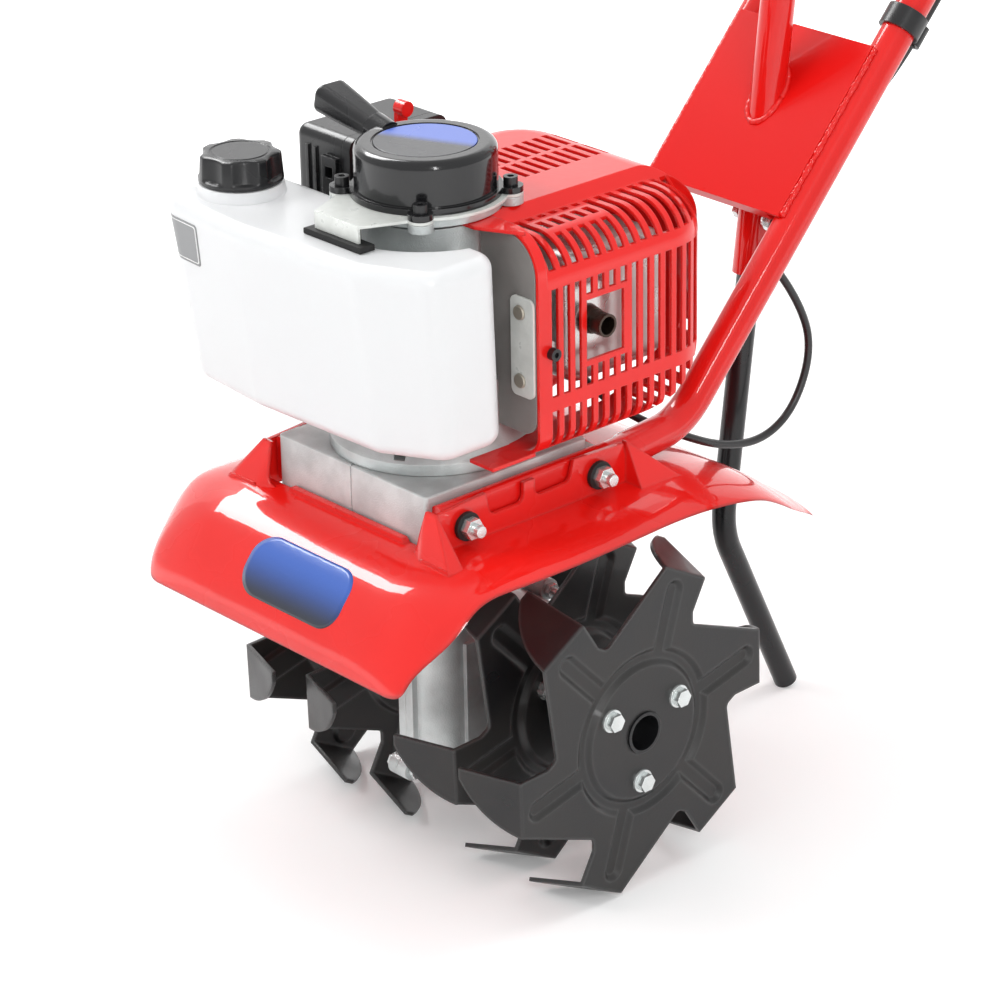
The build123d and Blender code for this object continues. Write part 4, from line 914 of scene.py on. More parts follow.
@dataclass(frozen=True)
class WeldBeads:
    """Rippled weld beads where the handle plate meets the tubes and the stake sleeve.

    Attributes:
        width: Bead radius in millimetres.
        pitch: Length of one ripple in millimetres.
        sections: Sections in one ripple.
        sides: Corners of each section.
        swell: Share of the radius at a ripple's start and what it gains to its end.
        sway: Share and pace, per millimetre, of the slow unevenness.
        inset: Length that stays bare at each end of a plate's edge in millimetres.
        seat: Bead's place outwards and above the tube's top in millimetres.
        plate_y: Y of the plate's lower edge in millimetres.
        plate_run: Length of the plate along the tubes in millimetres.
        plate_t: Thickness of the plate in millimetres.
        plate_gap: Gap between tube and plate in millimetres.
        sleeve_tilt: Lean of the stake sleeve in degrees.
        sleeve_foot: A point on the sleeve's axis in millimetres.
        sleeve_seat: Bead's place outside the sleeve in millimetres.
        sleeve_steps: Steps of the ring round the sleeve.
    """

    width: float = 2.3
    pitch: float = 2.6
    sections: int = 4
    sides: int = 10
    swell: tuple[float, float] = (0.80, 0.26)
    sway: tuple[tuple[float, float], ...] = ((0.12, 0.37), (0.08, 1.13))
    inset: float = 1.0
    seat: tuple[float, float] = (0.9, 0.7)
    plate_y: float = 222.0
    plate_run: float = 140.0
    plate_t: float = 3.0
    plate_gap: float = 0.3
    sleeve_tilt: float = 7.44
    sleeve_foot: Triple = (0.0, 249.4, 231.0)
    sleeve_seat: float = 0.6
    sleeve_steps: int = 128

    def build(self) -> list[str]:
        """Lay a bead along each plate edge and round the sleeve.

        Returns:
            The pieces' names.
        """
        paths = {"weld_left": self._edge(-1.0), "weld_right": self._edge(1.0)}
        for name, path in paths.items():
            self._bead(name, path, RIGHT)
        self._bead("weld_sleeve", self._sleeve_ring(), OVER)
        return [*paths, "weld_sleeve"]

    def _edge(self, side: float) -> list[Vector]:
        """Find the line along one edge of the plate.

        Args:
            side: Side of the frame, 1 or -1.

        Returns:
            Close points along the edge in metres.
        """
        steps = int(self.plate_run / self.pitch * self.sections)
        foot = tube_point(side * (TUBE_X + self.seat[0]), self.plate_y, TUBE_R + self.seat[1])
        run = self.plate_run - 2.0 * self.inset
        return [foot + RISE * (self.inset + run * step / steps) * MM for step in range(steps + 1)]

    def _bead(self, name: str, path: list[Vector], axis: Vector) -> None:
        """Make one bead with overlapping ripples.

        Args:
            name: The piece's name.
            path: Close points along the bead in metres.
            axis: A direction across the path.
        """
        mesh = bmesh.new()
        radii, run = [], 0.0
        for number, point in enumerate(path):
            run += (point - path[max(number - 1, 0)]).length / MM
            share = run / self.pitch % 1.0
            sway = sum(size * math.sin(run * pace) for size, pace in self.sway)
            grown = self.swell[0] + self.swell[1] * math.sqrt(share) + sway
            radii.append(self.width * grown * MM)
        ring_sweep(mesh, path, radii, axis, self.sides)
        mesh_piece(name, mesh, RED_COAT, Body.FRAME)

    def _sleeve_ring(self) -> list[Vector]:
        """Find the line where the leaning sleeve comes out of the plate.

        Returns:
            Close points along the ring in metres.
        """
        tilt = math.radians(self.sleeve_tilt)
        lean = Vector((0.0, math.sin(tilt), math.cos(tilt)))
        foot = place(*self.sleeve_foot)
        plate = tube_point(0.0, self.plate_y, TUBE_R + self.plate_gap + self.plate_t)
        across = Vector((0.0, lean.z, -lean.y))
        radius = TUBE_R + self.sleeve_seat
        ring = []
        for angle in (*round_angles(self.sleeve_steps), 2.0 * math.pi):
            start = foot + (RIGHT * math.cos(angle) + across * math.sin(angle)) * radius * MM
            reach = (plate - start).dot(OVER) / lean.dot(OVER)
            ring.append(start + lean * reach)
        return ring


@dataclass(frozen=True)
class BoltThreads:
    """Rolled threads on the stud ends that stand out of the fender nuts.

    Attributes:
        radius: Thread radius in millimetres.
        core: Radius of the sleeve's inside, within the stud, in millimetres.
        ridge: Height of the thread's root and of its crest in millimetres.
        pitch: Thread pitch in millimetres.
        sides: Corners once round.
        reach: X of the nut's outer face and of the stud's end in millimetres.
        places: Y of each bolt in millimetres.
    """

    radius: float = 4.0
    core: float = 3.4
    ridge: tuple[float, float] = (0.03, 0.28)
    pitch: float = 1.25
    sides: int = 24
    reach: tuple[float, float] = (100.3, 106.4)
    places: tuple[float, ...] = (-109.0, 11.0)

    def build(self) -> list[str]:
        """Wind a thread round each stud.

        Returns:
            The pieces' names.
        """
        names = []
        for number, y in enumerate(self.places):
            names.append(f"stud_thread_{number}")
            mesh_piece(names[-1], self._thread(y), ZINC, Body.FRAME)
        return names

    def _thread(self, y: float) -> bmesh.types.BMesh:
        """Wind one thread as a ridged sleeve.

        Args:
            y: Y of the bolt in millimetres.

        Returns:
            The thread's bmesh.
        """
        mesh = bmesh.new()
        nut, end = self.reach
        last = int((end - nut) / self.pitch * 2)
        levels = [(row, self.radius + self.ridge[row % 2]) for row in range(last + 1)]
        rows = []
        for row, crest in [(0, self.core), *levels, (last, self.core)]:
            ring = []
            for corner, angle in enumerate(round_angles(self.sides)):
                along = min(nut + self.pitch * (row / 2 + corner / self.sides), end)
                rise = FRAME_BOLT_V + crest * math.sin(angle)
                ring.append(mesh.verts.new(place(along, y + crest * math.cos(angle), rise)))
            rows.append(ring)
        join_rings(mesh, rows + rows[:1])
        return mesh


@dataclass(frozen=True)
class Blank:
    """A round-cornered blank plate on a CAD node's surface.

    Attributes:
        name: The piece's name.
        finish: Its surface.
        node: The CAD node that it lies on.
        centre: Its middle, near the surface, in millimetres.
        facing: The direction that it faces.
        half: Half its width and height in millimetres.
        corner: Its corner radius in millimetres.
        lift: Height of its face above the surface in millimetres.
        hole: Share of the outline that stays open in the middle.
    """

    name: str
    finish: Finish
    node: str
    centre: Triple
    facing: Triple
    half: tuple[float, float]
    corner: float
    lift: float = 0.25
    hole: float = 0.0

    def outline(self, steps: int, spacing: float) -> list[tuple[float, float]]:
        """Points of its outline, close together.

        Args:
            steps: Steps round each corner.
            spacing: About the distance between points in millimetres.

        Returns:
            The points, in order round the plate.
        """
        points = []
        flat = [size - self.corner for size in self.half]
        for sx, sy, start in ((1, 1, 0.0), (-1, 1, 90.0), (-1, -1, 180.0), (1, -1, 270.0)):
            for step in range(steps + 1):
                angle = math.radians(start + 90.0 * step / steps)
                u = sx * flat[0] + self.corner * math.cos(angle)
                points.append((u, sy * flat[1] + self.corner * math.sin(angle)))
        dense = []
        for (u, v), (next_u, next_v) in zip(points, points[1:] + points[:1]):
            parts = max(1, round(math.hypot(next_u - u, next_v - v) / spacing))
            for step in range(parts):
                share = step / parts
                dense.append((u + (next_u - u) * share, v + (next_v - v) * share))
        return dense


@dataclass(frozen=True)
class Plates:
    """Blank plates on the starter, the fender and the tank.

    Attributes:
        fender: Middle of the fender's plate in millimetres and the direction that it faces.
        tank: Middle of the tank's plate in millimetres and the direction that it faces.
        sink: Depth of a plate's back below the surface in millimetres.
        rings: Rings from a plate's middle to its rim.
        corner_steps: Steps round each corner.
        spacing: About the distance between points of an outline in millimetres.
        stand_off: Distance in front of the surface where it is felt for, in metres.
        feel: Longest reach of that in metres.
        merge: Distance in metres under which points become one.
        disc_y: Y of the starter's axis in millimetres.
        disc_rings: Radius and height of the starter disc's rings in millimetres.
        disc_sides: Corners of the starter disc.
    """

    fender: tuple[Triple, Triple] = ((12.0, -186.0, 128.0), (0.0, -0.80, 0.60))
    tank: tuple[Triple, Triple] = ((-135.0, -158.0, 326.0), (-0.12, -0.99, 0.0))
    sink: float = 0.4
    rings: int = 12
    corner_steps: int = 12
    spacing: float = 1.5
    stand_off: float = 0.05
    feel: float = 0.2
    merge: float = 1e-6
    disc_y: float = -58.0
    disc_rings: tuple[tuple[float, float], ...] = (
        (12.0, 404.75),
        (24.0, 404.75),
        (34.2, 404.75),
        (34.8, 404.3),
    )
    disc_sides: int = 72

    def build(self) -> list[str]:
        """Add the starter's disc and the plates.

        Returns:
            The pieces' names.
        """
        on_fender, on_tank = ("fender", *self.fender), ("fuel_tank", *self.tank)
        blanks = (
            Blank("fender_plate", FENDER_PLATE, *on_fender, half=(50.0, 22.0), corner=17.0),
            Blank("tank_plate", TANK_PLATE, *on_tank, half=(18.5, 15.0), corner=2.5),
            Blank(
                "tank_line",
                TANK_LINE,
                *on_tank,
                half=(17.0, 13.5),
                corner=2.0,
                lift=0.45,
                hole=0.95,
            ),
        )
        self._disc()
        for blank in blanks:
            self._lay(blank)
        return ["starter_disc", *(blank.name for blank in blanks)]

    def _disc(self) -> None:
        """Add the blank disc in the recess of the starter's top."""
        mesh = bmesh.new()
        middle = mesh.verts.new(place(0.0, self.disc_y, self.disc_rings[0][1]))
        rings = []
        for radius, height in self.disc_rings:
            ring = []
            for angle in round_angles(self.disc_sides):
                y = self.disc_y + radius * math.sin(angle)
                ring.append(mesh.verts.new(place(radius * math.cos(angle), y, height)))
            rings.append(ring)
        for first, second in zip(rings[0], rings[0][1:] + rings[0][:1]):
            mesh.faces.new((middle, first, second))
        join_rings(mesh, rings)
        mesh.faces.new(rings[-1])
        mesh_piece("starter_disc", mesh, STARTER_DISC, Body.FRAME, False)

    def _lay(self, blank: Blank) -> None:
        """Lay a blank plate on its node's surface.

        Args:
            blank: The plate.
        """
        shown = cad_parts[blank.node].data
        corners = [vertex.co for vertex in shown.vertices]
        tree = BVHTree.FromPolygons(corners, [tuple(face.vertices) for face in shown.polygons])
        out = Vector(blank.facing).normalized()
        wide = UP.cross(out).normalized()
        high = out.cross(wide)
        mesh = bmesh.new()
        shares = (blank.hole, 1.0)
        if not blank.hole:
            shares = tuple(ring / self.rings for ring in range(self.rings + 1))
        outline = blank.outline(self.corner_steps, self.spacing)
        face, back = [], []
        for share in shares:
            face.append([])
            back.append([])
            for u, v in outline:
                middle = place(*blank.centre) + (wide * u + high * v) * share * MM
                spot = middle + out * self.stand_off
                hit, normal, _, _ = tree.ray_cast(spot, -out, self.feel)
                hit = hit if hit is not None else spot - out * self.stand_off
                normal = normal if normal is not None else out
                face[-1].append(mesh.verts.new(hit + normal * blank.lift * MM))
                back[-1].append(mesh.verts.new(hit - normal * self.sink * MM))
        join_rings(mesh, face + back[::-1] + (face[:1] if blank.hole else []))
        bmesh.ops.remove_doubles(mesh, verts=mesh.verts, dist=self.merge)
        mesh_piece(blank.name, mesh, blank.finish, Body.FRAME)


@dataclass(frozen=True)
class CornerPlates:
    """Flat front plates of the fender's corner gussets, cut out in a notch beside the gearbox.

    Attributes:
        levels: Heights of the rows in millimetres, from the fender's skin to the flange's top.
        notch: Middle and radius of the notch across and up, in millimetres.
        inset: Start of the foot beside the notch, from the lip's end, in millimetres.
        flare: Growth of the notch's X per millimetre above its middle.
        crease: Outer edge's X at the top row and its growth per millimetre down.
        widest: Largest X of the outer edge in millimetres.
        lean: Front face's Y at the top row and its growth per millimetre down.
        lip: Y of the front lip's face, which the plate runs into beside the notch.
        span: X where the plate leaves the lip's face and where it reaches the gusset's.
        thick: Thickness in millimetres.
        columns: Number of faces across.
    """

    levels: tuple[float, ...] = (
        *(153.8, 155.9, 156.1, 156.6, 157.5, 159.0, 161.0),
        *(163.0, 165.0, 170.0, 176.0, 182.0, 186.8),
    )
    notch: Triple = (69.0, 165.0, 9.0)
    inset: float = 0.5
    flare: float = 0.12
    crease: tuple[float, float] = (89.3, 0.811)
    widest: float = 113.4
    lean: tuple[float, float] = (-134.6, 0.355)
    lip: float = -138.0
    span: tuple[float, float] = (66.0, 86.0)
    thick: float = 2.5
    columns: int = 12

    def build(self) -> list[str]:
        """Add the plates of both front corners.

        Returns:
            The pieces' names.
        """
        sides = {"corner_plate_right": 1.0, "corner_plate_left": -1.0}
        for name, way in sides.items():
            mesh = bmesh.new()
            front, back = (
                [self._row(mesh, way, level, depth) for level in self.levels]
                for depth in (0.0, self.thick)
            )
            self._skin(mesh, front, back)
            mesh_piece(name, mesh, RED_FENDER, Body.FRAME)
        return list(sides)

    def _row(
        self, mesh: bmesh.types.BMesh, way: float, level: float, depth: float
    ) -> list[bmesh.types.BMVert]:
        """One row of points across the plate.

        Args:
            mesh: The mesh that takes the points.
            way: Side of the fender, 1 or -1.
            level: Height in millimetres.
            depth: Distance behind the front face in millimetres.

        Returns:
            The points from the notch to the outer edge.
        """
        down = self.levels[-1] - level
        inner = self._inner(level)
        outer = min(self.widest, self.crease[0] + self.crease[1] * down)
        front = self.lean[0] - self.lean[1] * down
        row = []
        for column in range(self.columns + 1):
            x = inner + (outer - inner) * column / self.columns
            share = min(1.0, max(0.0, (x - self.span[0]) / (self.span[1] - self.span[0])))
            share = share * share * (3.0 - 2.0 * share)
            y = self.lip + (front - self.lip) * share + depth
            row.append(mesh.verts.new(place(way * x, y, level)))
        return row

    def _inner(self, level: float) -> float:
        """X of the plate's inner edge.

        Args:
            level: Height in millimetres.

        Returns:
            The edge's X in millimetres.
        """
        x, middle, radius = self.notch
        if level < middle - radius:
            return self.span[0] + self.inset
        if level < middle:
            return x + math.sqrt(max(0.0, radius**2 - (middle - level) ** 2))
        return x + radius + (level - middle) * self.flare

    @staticmethod
    def _skin(
        mesh: bmesh.types.BMesh,
        front: list[list[bmesh.types.BMVert]],
        back: list[list[bmesh.types.BMVert]],
    ) -> None:
        """Close the front, the back and the rim.

        Args:
            mesh: The mesh that takes the faces.
            front: Rows of points of the front.
            back: Rows of points of the back.
        """
        rims = [(front[end], back[end]) for end in (0, -1)]
        rims += [([row[end] for row in front], [row[end] for row in back]) for end in (0, -1)]
        walls = [pair for wall in (front, back) for pair in zip(wall, wall[1:])]
        for low, high in walls + rims:
            for step in range(len(low) - 1):
                mesh.faces.new((low[step], low[step + 1], high[step + 1], high[step]))


@dataclass(frozen=True)
class FuelCap:
    """Scalloped fuel cap over the tank's neck.

    Attributes:
        centre: X and Y of the neck in millimetres.
        lobes: Number of scallops.
        steps: Corners in one scallop.
        phase: Angle where the first scallop starts, in degrees.
        bite: Depth of the scallops in millimetres.
        spread: Share of its place round the cap that a scallop takes.
        crease: Angle in degrees from which an edge is shaded sharp.
        profile: Radius, height and share of the scallop at each level, from the inside out.
    """

    centre: tuple[float, float] = (-124.0, -116.0)
    lobes: int = 7
    steps: int = 24
    phase: float = -57.2
    bite: float = 3.3
    spread: float = 0.74
    crease: float = 38.0
    profile: tuple[Triple, ...] = (
        (20.6, 373.4, 0.0),
        (20.6, 361.6, 0.0),
        (27.8, 361.4, 0.0),
        (28.9, 361.9, 0.0),
        (29.2, 362.8, 0.0),
        (29.1, 364.6, 0.0),
        (29.0, 365.2, 0.3),
        (28.9, 366.1, 0.88),
        (28.8, 367.4, 1.0),
        (27.9, 379.6, 1.0),
        (27.4, 380.8, 0.96),
        (26.4, 381.4, 0.90),
        (21.2, 381.6, 0.0),
        (20.6, 381.0, 0.0),
        (19.4, 381.0, 0.0),
        (18.8, 381.6, 0.0),
        (10.0, 381.6, 0.0),
    )

    def build(self) -> list[str]:
        """Turn the profile round the neck and close both ends.

        Returns:
            The piece's name.
        """
        mesh = bmesh.new()
        rings = []
        for radius, height, share in self.profile:
            ring = []
            for corner, turn in enumerate(round_angles(self.lobes * self.steps)):
                angle = math.radians(self.phase) + turn
                reach = radius - self._scallop(corner / self.steps) * share
                x = self.centre[0] + reach * math.cos(angle)
                y = self.centre[1] + reach * math.sin(angle)
                ring.append(mesh.verts.new(place(x, y, height)))
            rings.append(ring)
        join_rings(mesh, rings)
        mesh.faces.new(rings[0])
        mesh.faces.new(rings[-1])
        cap = mesh_piece("cap_cover", mesh, BLACK_MOULD, Body.CAP)
        cap.data.set_sharp_from_angle(angle=math.radians(self.crease))
        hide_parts("fuel_cap")
        return [cap.name]

    def _scallop(self, turn: float) -> float:
        """Depth of the scallop at a place round the cap.

        Args:
            turn: Place round the cap, counted in scallops.

        Returns:
            The depth in millimetres.
        """
        off = abs(turn % 1.0 - 0.5) * 2.0
        return self.bite * max(0.0, 1.0 - (off / self.spread) ** 2)


@dataclass(frozen=True)
class Cords:
    """Throttle cable and fuel hose along the routes of the part's source.

    Attributes:
        radius: Radius of both in millimetres.
        engine: Cable's route from the carburettor to the gearbox and round behind it.
        up: Its way up to the handle tube.
        beside: Y along the handle tube, and the offset across, of the run that is clipped to it.
        below: Distance of that run under the tube's skin in millimetres.
        grip: Its way from the tube to the throttle grip.
        hose: Hose's route from the tank to the carburettor.
        smooth: Steps between two points of a route.
        sides: Steps of a quarter of the round section.
        collar: Where the grip's ferrule starts and a point back along the cable, in millimetres.
        lengths: Length of the engine's and of the grip's ferrule in millimetres.
        profile: Share of the length and radius in millimetres along a ferrule.
        bare: Length of a cord's end that a ferrule leaves bare in millimetres.
        ferrule_sides: Corners of a ferrule.
    """

    radius: float = 3.0
    engine: tuple[Triple, ...] = (
        *((-70, 52.8, 280), (-70, 92, 270.4), (-57, 96, 226), (-20, 94, 190), (22, 104, 168)),
        *((42, 140, 147), (42, 182, 126), (42, 224, 119), (42, 256, 136), (42, 273, 178)),
    )
    up: tuple[Triple, ...] = ((38, 262, 216), (28, 232, 262), (30, 262, 302), (42, 300, 334))
    beside: tuple[tuple[float, float], ...] = ((316, 0), (375.7, 1.2), (435.3, -0.8), (495, 0))
    below: float = 6.5
    grip: tuple[Triple, ...] = (
        *((82, 544, 613), (141, 574, 650), (201, 603, 693)),
        *((235, 637, 706), (235, 671, 706)),
    )
    hose: tuple[Triple, ...] = (
        *((-86, -72.3, 262), (-85, -46, 262)),
        *((-78, -16, 268), (-70, 10.4, 280)),
    )
    smooth: int = 10
    sides: int = 4
    collar: tuple[Triple, Triple] = ((235, 661.6, 706), (235, 640, 706))
    lengths: tuple[float, float] = (14.0, 12.0)
    profile: tuple[tuple[float, float], ...] = (
        *((0.0, 4.4), (0.16, 4.4), (0.18, 3.8), (0.40, 3.8), (0.43, 4.1)),
        *((0.52, 4.1), (0.55, 3.8), (0.84, 3.8), (1.0, 3.2)),
    )
    bare: float = 0.3
    ferrule_sides: int = 20

    def build(self) -> list[str]:
        """Lay the cable and the hose, with their end fittings.

        Returns:
            The pieces' names.
        """
        first, last = ([place(*p) for p in run] for run in (self.engine + self.up, self.grip))
        under = -TUBE_R - self.below
        side = [tube_point(TUBE_X + across, y, under) for y, across in self.beside]
        self._cord("throttle_line", first + side + last, SHEATH, "throttle_cable")
        hose = [place(*p) for p in self.hose]
        self._cord("fuel_line", hose, RUBBER, "fuel_hose")
        self._ferrule("ferrule_engine", first[0], first[1], self.lengths[0])
        self._ferrule("ferrule_grip", *(place(*p) for p in self.collar), self.lengths[1])
        return ["throttle_line", "fuel_line", "ferrule_engine", "ferrule_grip"]

    def _cord(
        self, name: str, route: list[Vector], finish: Finish, node: str
    ) -> None:
        """Lay one cord as a smooth curve over its route.

        Args:
            name: The piece's name.
            route: Control points in metres.
            finish: Its surface.
            node: The CAD node that it stands for.
        """
        data = bpy.data.curves.new(name, "CURVE")
        data.dimensions = "3D"
        data.resolution_u = self.smooth
        data.bevel_depth = self.radius * MM
        data.bevel_resolution = self.sides
        data.use_fill_caps = True
        spline = data.splines.new("NURBS")
        spline.points.add(len(route) - 1)
        for point, spot in zip(spline.points, route):
            point.co = (*spot, 1.0)
        spline.order_u = 3
        spline.use_endpoint_u = True
        data.materials.append(finish.build())
        cord = link_object(name, data)
        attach(cord, Body.FRAME.value)
        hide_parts(node)

    def _ferrule(self, name: str, start: Vector, towards: Vector, length: float) -> None:
        """Put a crimped ferrule over a cord's end.

        Args:
            name: The piece's name.
            start: The cord's end in metres.
            towards: A point that the cord runs to, in metres.
            length: The ferrule's length in millimetres.
        """
        along = (towards - start).normalized()
        mesh = bmesh.new()
        centres = [start + along * (self.bare + share * length) * MM for share, _ in self.profile]
        radii = [radius * MM for _, radius in self.profile]
        ring_sweep(mesh, centres, radii, RIGHT, self.ferrule_sides)
        mesh_piece(name, mesh, ZINC, Body.FRAME, False)


@dataclass(frozen=True)
class StarterRope:
    """Rope between the starter's guide and its grip.

    Attributes:
        base: Where the rope leaves the guide, in millimetres.
        rise: Angle of the pull above level in degrees.
        span: Start and end of the rope along the pull in millimetres.
        radius: Radius of the rope in millimetres.
        lay: Share of the radius that the strands take, and their pace per row.
        rows: Steps along the rope.
        sides: Corners of its section.
        held: Rows at each end that stay with the guide or the grip; not used.
    """

    base: Triple = (-57.0, -56.0, 402.0)
    rise: float = 13.0
    span: tuple[float, float] = (-11.0, 8.0)
    radius: float = 2.0
    lay: tuple[float, float] = (0.03, 2.1)
    rows: int = 60
    sides: int = 14
    held: int = 6

    def build(self) -> list[str]:
        """Make the rope as a straight strand along the pull from the guide.

        Returns:
            The piece's name.
        """
        angle = math.radians(self.rise)
        pull = Vector((-math.cos(angle), 0.0, math.sin(angle)))
        start, end = self.span
        depth, pace = self.lay
        spots, radii = [], []
        for row in range(self.rows + 1):
            spots.append(place(*self.base) + pull * (start + (end - start) * row / self.rows) * MM)
            radii.append(self.radius * (1.0 - depth + depth * math.cos(row * pace)) * MM)
        mesh = bmesh.new()
        ring_sweep(mesh, spots, radii, REAR, self.sides)
        rope = mesh_object("starter_line", mesh, CORD, False)
        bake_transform(rope)
        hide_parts("starter_rope")
        return [rope.name]


@dataclass(frozen=True)
class Lamp:
    """One area light.

    Attributes:
        name: Its name.
        spot: Its place in metres.
        size: Its width and height in metres.
        power: Its power in watts.
        lights: Whether it lights matt surfaces.
        shines: Whether it shows in glossy surfaces.
    """

    name: str
    spot: Triple
    size: tuple[float, float]
    power: float
    lights: bool = True
    shines: bool = True

    def build(self, target: Vector) -> None:
        """Place the light and aim it.

        Args:
            target: The point that it faces, in metres.
        """
        data = bpy.data.lights.new(self.name, "AREA")
        data.shape = "RECTANGLE"
        data.size, data.size_y = self.size
        data.energy = self.power
        lamp = link_object(self.name, data)
        lamp.location = self.spot
        lamp.rotation_euler = (target - Vector(self.spot)).to_track_quat("-Z", "Y").to_euler()
        lamp.visible_diffuse = self.lights
        lamp.visible_glossy = self.shines


@dataclass(frozen=True)
class Studio:
    """Floor, lights and camera.

    Attributes:
        azimuth: Camera's angle round the object in degrees.
        elevation: Camera's angle above level in degrees.
        roll: Camera's turn about its own axis in degrees.
        stand: Camera's place from the axle along its own right, up and back in millimetres.
        lens: Focal length in millimetres.
        sensor: Width of the picture's plane in millimetres.
        far: Longest sight in metres.
        surround: Strength of the light from all round.
        aim: The point that the lamps face in millimetres.
        lamps: Soft lights for the forms and two bright cards for the highlights.
        paper: The floor's finish.
        floor_rows: Distance behind the object and height of the floor's rows in metres.
        floor_half: Half the floor's width in metres.
        white_from: Distances in metres where the seen floor starts to whiten and is white.
    """

    azimuth: float = 48.2
    elevation: float = 24.1
    roll: float = -1.0
    stand: Triple = (-0.12, 116.16, 2633.22)
    lens: float = 133.2
    sensor: float = 36.0
    far: float = 50.0
    surround: float = 0.50
    aim: Triple = (0.0, 0.0, 150.0)
    lamps: tuple[Lamp, ...] = (
        Lamp("key", (-1.6, -2.2, 2.6), (1.6, 1.6), 54.0, shines=False),
        Lamp("fill", (2.6, -1.4, 1.9), (1.4, 1.4), 40.0, shines=False),
        Lamp("rim", (0.4, 2.4, 2.6), (1.6, 1.6), 36.0, shines=False),
        Lamp("top", (0.1, -0.3, 3.2), (1.8, 1.8), 14.0, shines=False),
        Lamp("card_left", (-1.75, -0.18, 2.25), (1.3, 1.0), 66.0, lights=False),
        Lamp("card_right", (2.4, -1.5, 1.6), (0.22, 1.7), 28.0, lights=False),
    )
    paper: Finish = Finish(
        "floor_paper",
        (0.94, 0.94, 0.94),
        (0.93, 0.93, 0.93),
        rough=(0.7, 0.8),
        specular=0.1,
        depth=0.0,
        radius=0.0001,
        glow=0.14,
    )
    floor_rows: tuple[tuple[float, float], ...] = (
        (-6.0, 0.0),
        (6.0, 0.0),
        (9.0, 0.6),
        (10.0, 3.0),
        (10.0, 9.0),
    )
    floor_half: float = 9.0
    white_from: tuple[float, float] = (0.75, 1.9)

    def build(self) -> list[str]:
        """Set up the camera, the world, the lights and the floor.

        Returns:
            The names of what was set up.
        """
        self._camera()
        self._world()
        for lamp in self.lamps:
            lamp.build(place(*self.aim))
        self._floor()
        return ["camera", "studio", *(lamp.name for lamp in self.lamps), "floor"]

    def _camera(self) -> None:
        """Place the camera at the photograph's angle and distance."""
        az, el, roll = (math.radians(a) for a in (self.azimuth, self.elevation, self.roll))
        back = Vector((math.sin(az) * math.cos(el), -math.cos(az) * math.cos(el), math.sin(el)))
        right = Vector((math.cos(az), math.sin(az), 0.0))
        up = back.cross(right)
        axis_x = right * math.cos(roll) + up * math.sin(roll)
        axis_y = up * math.cos(roll) - right * math.sin(roll)
        data = bpy.data.cameras.new("camera")
        data.lens = self.lens
        data.sensor_width = self.sensor
        data.clip_end = self.far
        camera = link_object("camera", data)
        x, y, away = self.stand
        centre = axis_x * x + axis_y * y + back * away + AXLE
        turn = Matrix((axis_x, axis_y, back)).transposed().to_4x4()
        camera.matrix_world = Matrix.Translation(centre * MM) @ turn
        bpy.context.scene.camera = camera

    def _world(self) -> None:
        """Give a bright, even studio surround."""
        world = bpy.data.worlds.new("studio")
        world.use_nodes = True
        tree = world.node_tree
        sky = tree.nodes["Background"]
        sky.inputs["Color"].default_value = WHITE
        level = tree.nodes.new("ShaderNodeMix")
        level.inputs["A"].default_value = self.surround
        level.inputs["B"].default_value = 1.0
        tree.links.new(self._seen(tree), level.inputs["Factor"])
        tree.links.new(level.outputs["Result"], sky.inputs["Strength"])
        bpy.context.scene.world = world
        bpy.context.scene.view_settings.view_transform = "Standard"

    def _floor(self) -> None:
        """Add the pale floor, bent up far behind the object."""
        mesh = bmesh.new()
        turn = Matrix.Rotation(math.radians(self.azimuth), 4, "Z")
        edges = []
        for along, height in self.floor_rows:
            ends = [Vector((way * self.floor_half, along, height)) for way in (-1.0, 1.0)]
            edges.append([mesh.verts.new(turn @ end) for end in ends])
        for low, high in zip(edges, edges[1:]):
            mesh.faces.new((low[0], low[1], high[1], high[0]))
        data = bpy.data.meshes.new("floor")
        mesh.to_mesh(data)
        mesh.free()
        data.materials.append(self._run_out())
        floor = link_object("floor", data)

    @staticmethod
    def _seen(tree: bpy.types.NodeTree) -> bpy.types.NodeSocket:
        """Mask of the rays that show the background: to the camera, in gloss and through glass.

        Args:
            tree: The node tree that takes the nodes.

        Returns:
            The socket that is 1 for such rays and 0 for the others.
        """
        path = tree.nodes.new("ShaderNodeLightPath")
        socket = path.outputs["Is Camera Ray"]
        for ray in ("Is Glossy Ray", "Is Transmission Ray"):
            either = math_node(tree, "Math", "MAXIMUM")
            tree.links.new(socket, either.inputs[0])
            tree.links.new(path.outputs[ray], either.inputs[1])
            socket = either.outputs[0]
        return socket

    def _run_out(self) -> bpy.types.Material:
        """Let the seen floor turn to plain white away from the object.

        Returns:
            The floor's material.
        """
        material = self.paper.build()
        tree = material.node_tree
        links, shader = tree.links, tree.nodes["Principled BSDF"]
        coords = tree.nodes.new("ShaderNodeTexCoord")
        away = math_node(tree, "VectorMath", "LENGTH")
        near, far = self.white_from
        ends = {"from_min": near, "from_max": far, "to_min": self.paper.glow, "to_max": 1.0}
        ramp = map_range(tree, smooth=True, **ends)
        level = tree.nodes.new("ShaderNodeMix")
        level.inputs["A"].default_value = self.paper.glow
        links.new(coords.outputs["Object"], away.inputs[0])
        links.new(away.outputs["Value"], ramp.inputs["Value"])
        links.new(self._seen(tree), level.inputs["Factor"])
        links.new(ramp.outputs[0], level.inputs["B"])
        links.new(level.outputs["Result"], shader.inputs["Emission Strength"])
        return material


class CadDress:
    """Gives every CAD node its finish."""

    def build(self) -> list[str]:
        """Assign the finishes to the nodes' material slots.

        Returns:
            The nodes' names.
        """
        for finish, nodes in FINISHES.items():
            material = finish.build()
            for node in nodes:
                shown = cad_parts[node]
                shown.data.materials.clear()
                shown.data.materials.append(material)
        return [node for nodes in FINISHES.values() for node in nodes]


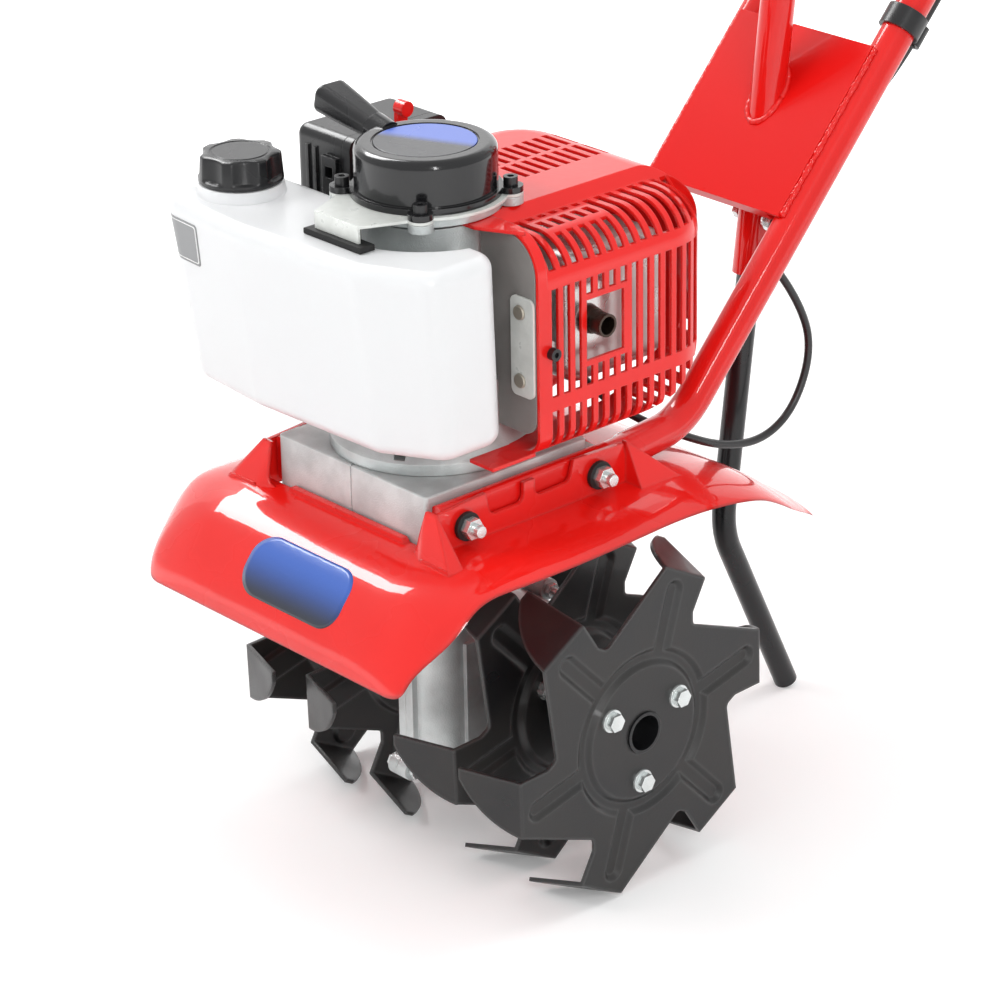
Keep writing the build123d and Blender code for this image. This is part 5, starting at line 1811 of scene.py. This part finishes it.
def main() -> None:
    """Build the looks in order and report each piece."""
    logging.basicConfig(level=logging.INFO)
    works = (
        CadDress(),
        WeldBeads(),
        BoltThreads(),
        Plates(),
        CornerPlates(),
        FuelCap(),
        Cords(),
        StarterRope(),
        Studio(),
    )
    for work in works:
        for name in work.build():
            LOG.info("%s: %s", type(work).__name__, name)


if __name__ == "__main__":
    main()
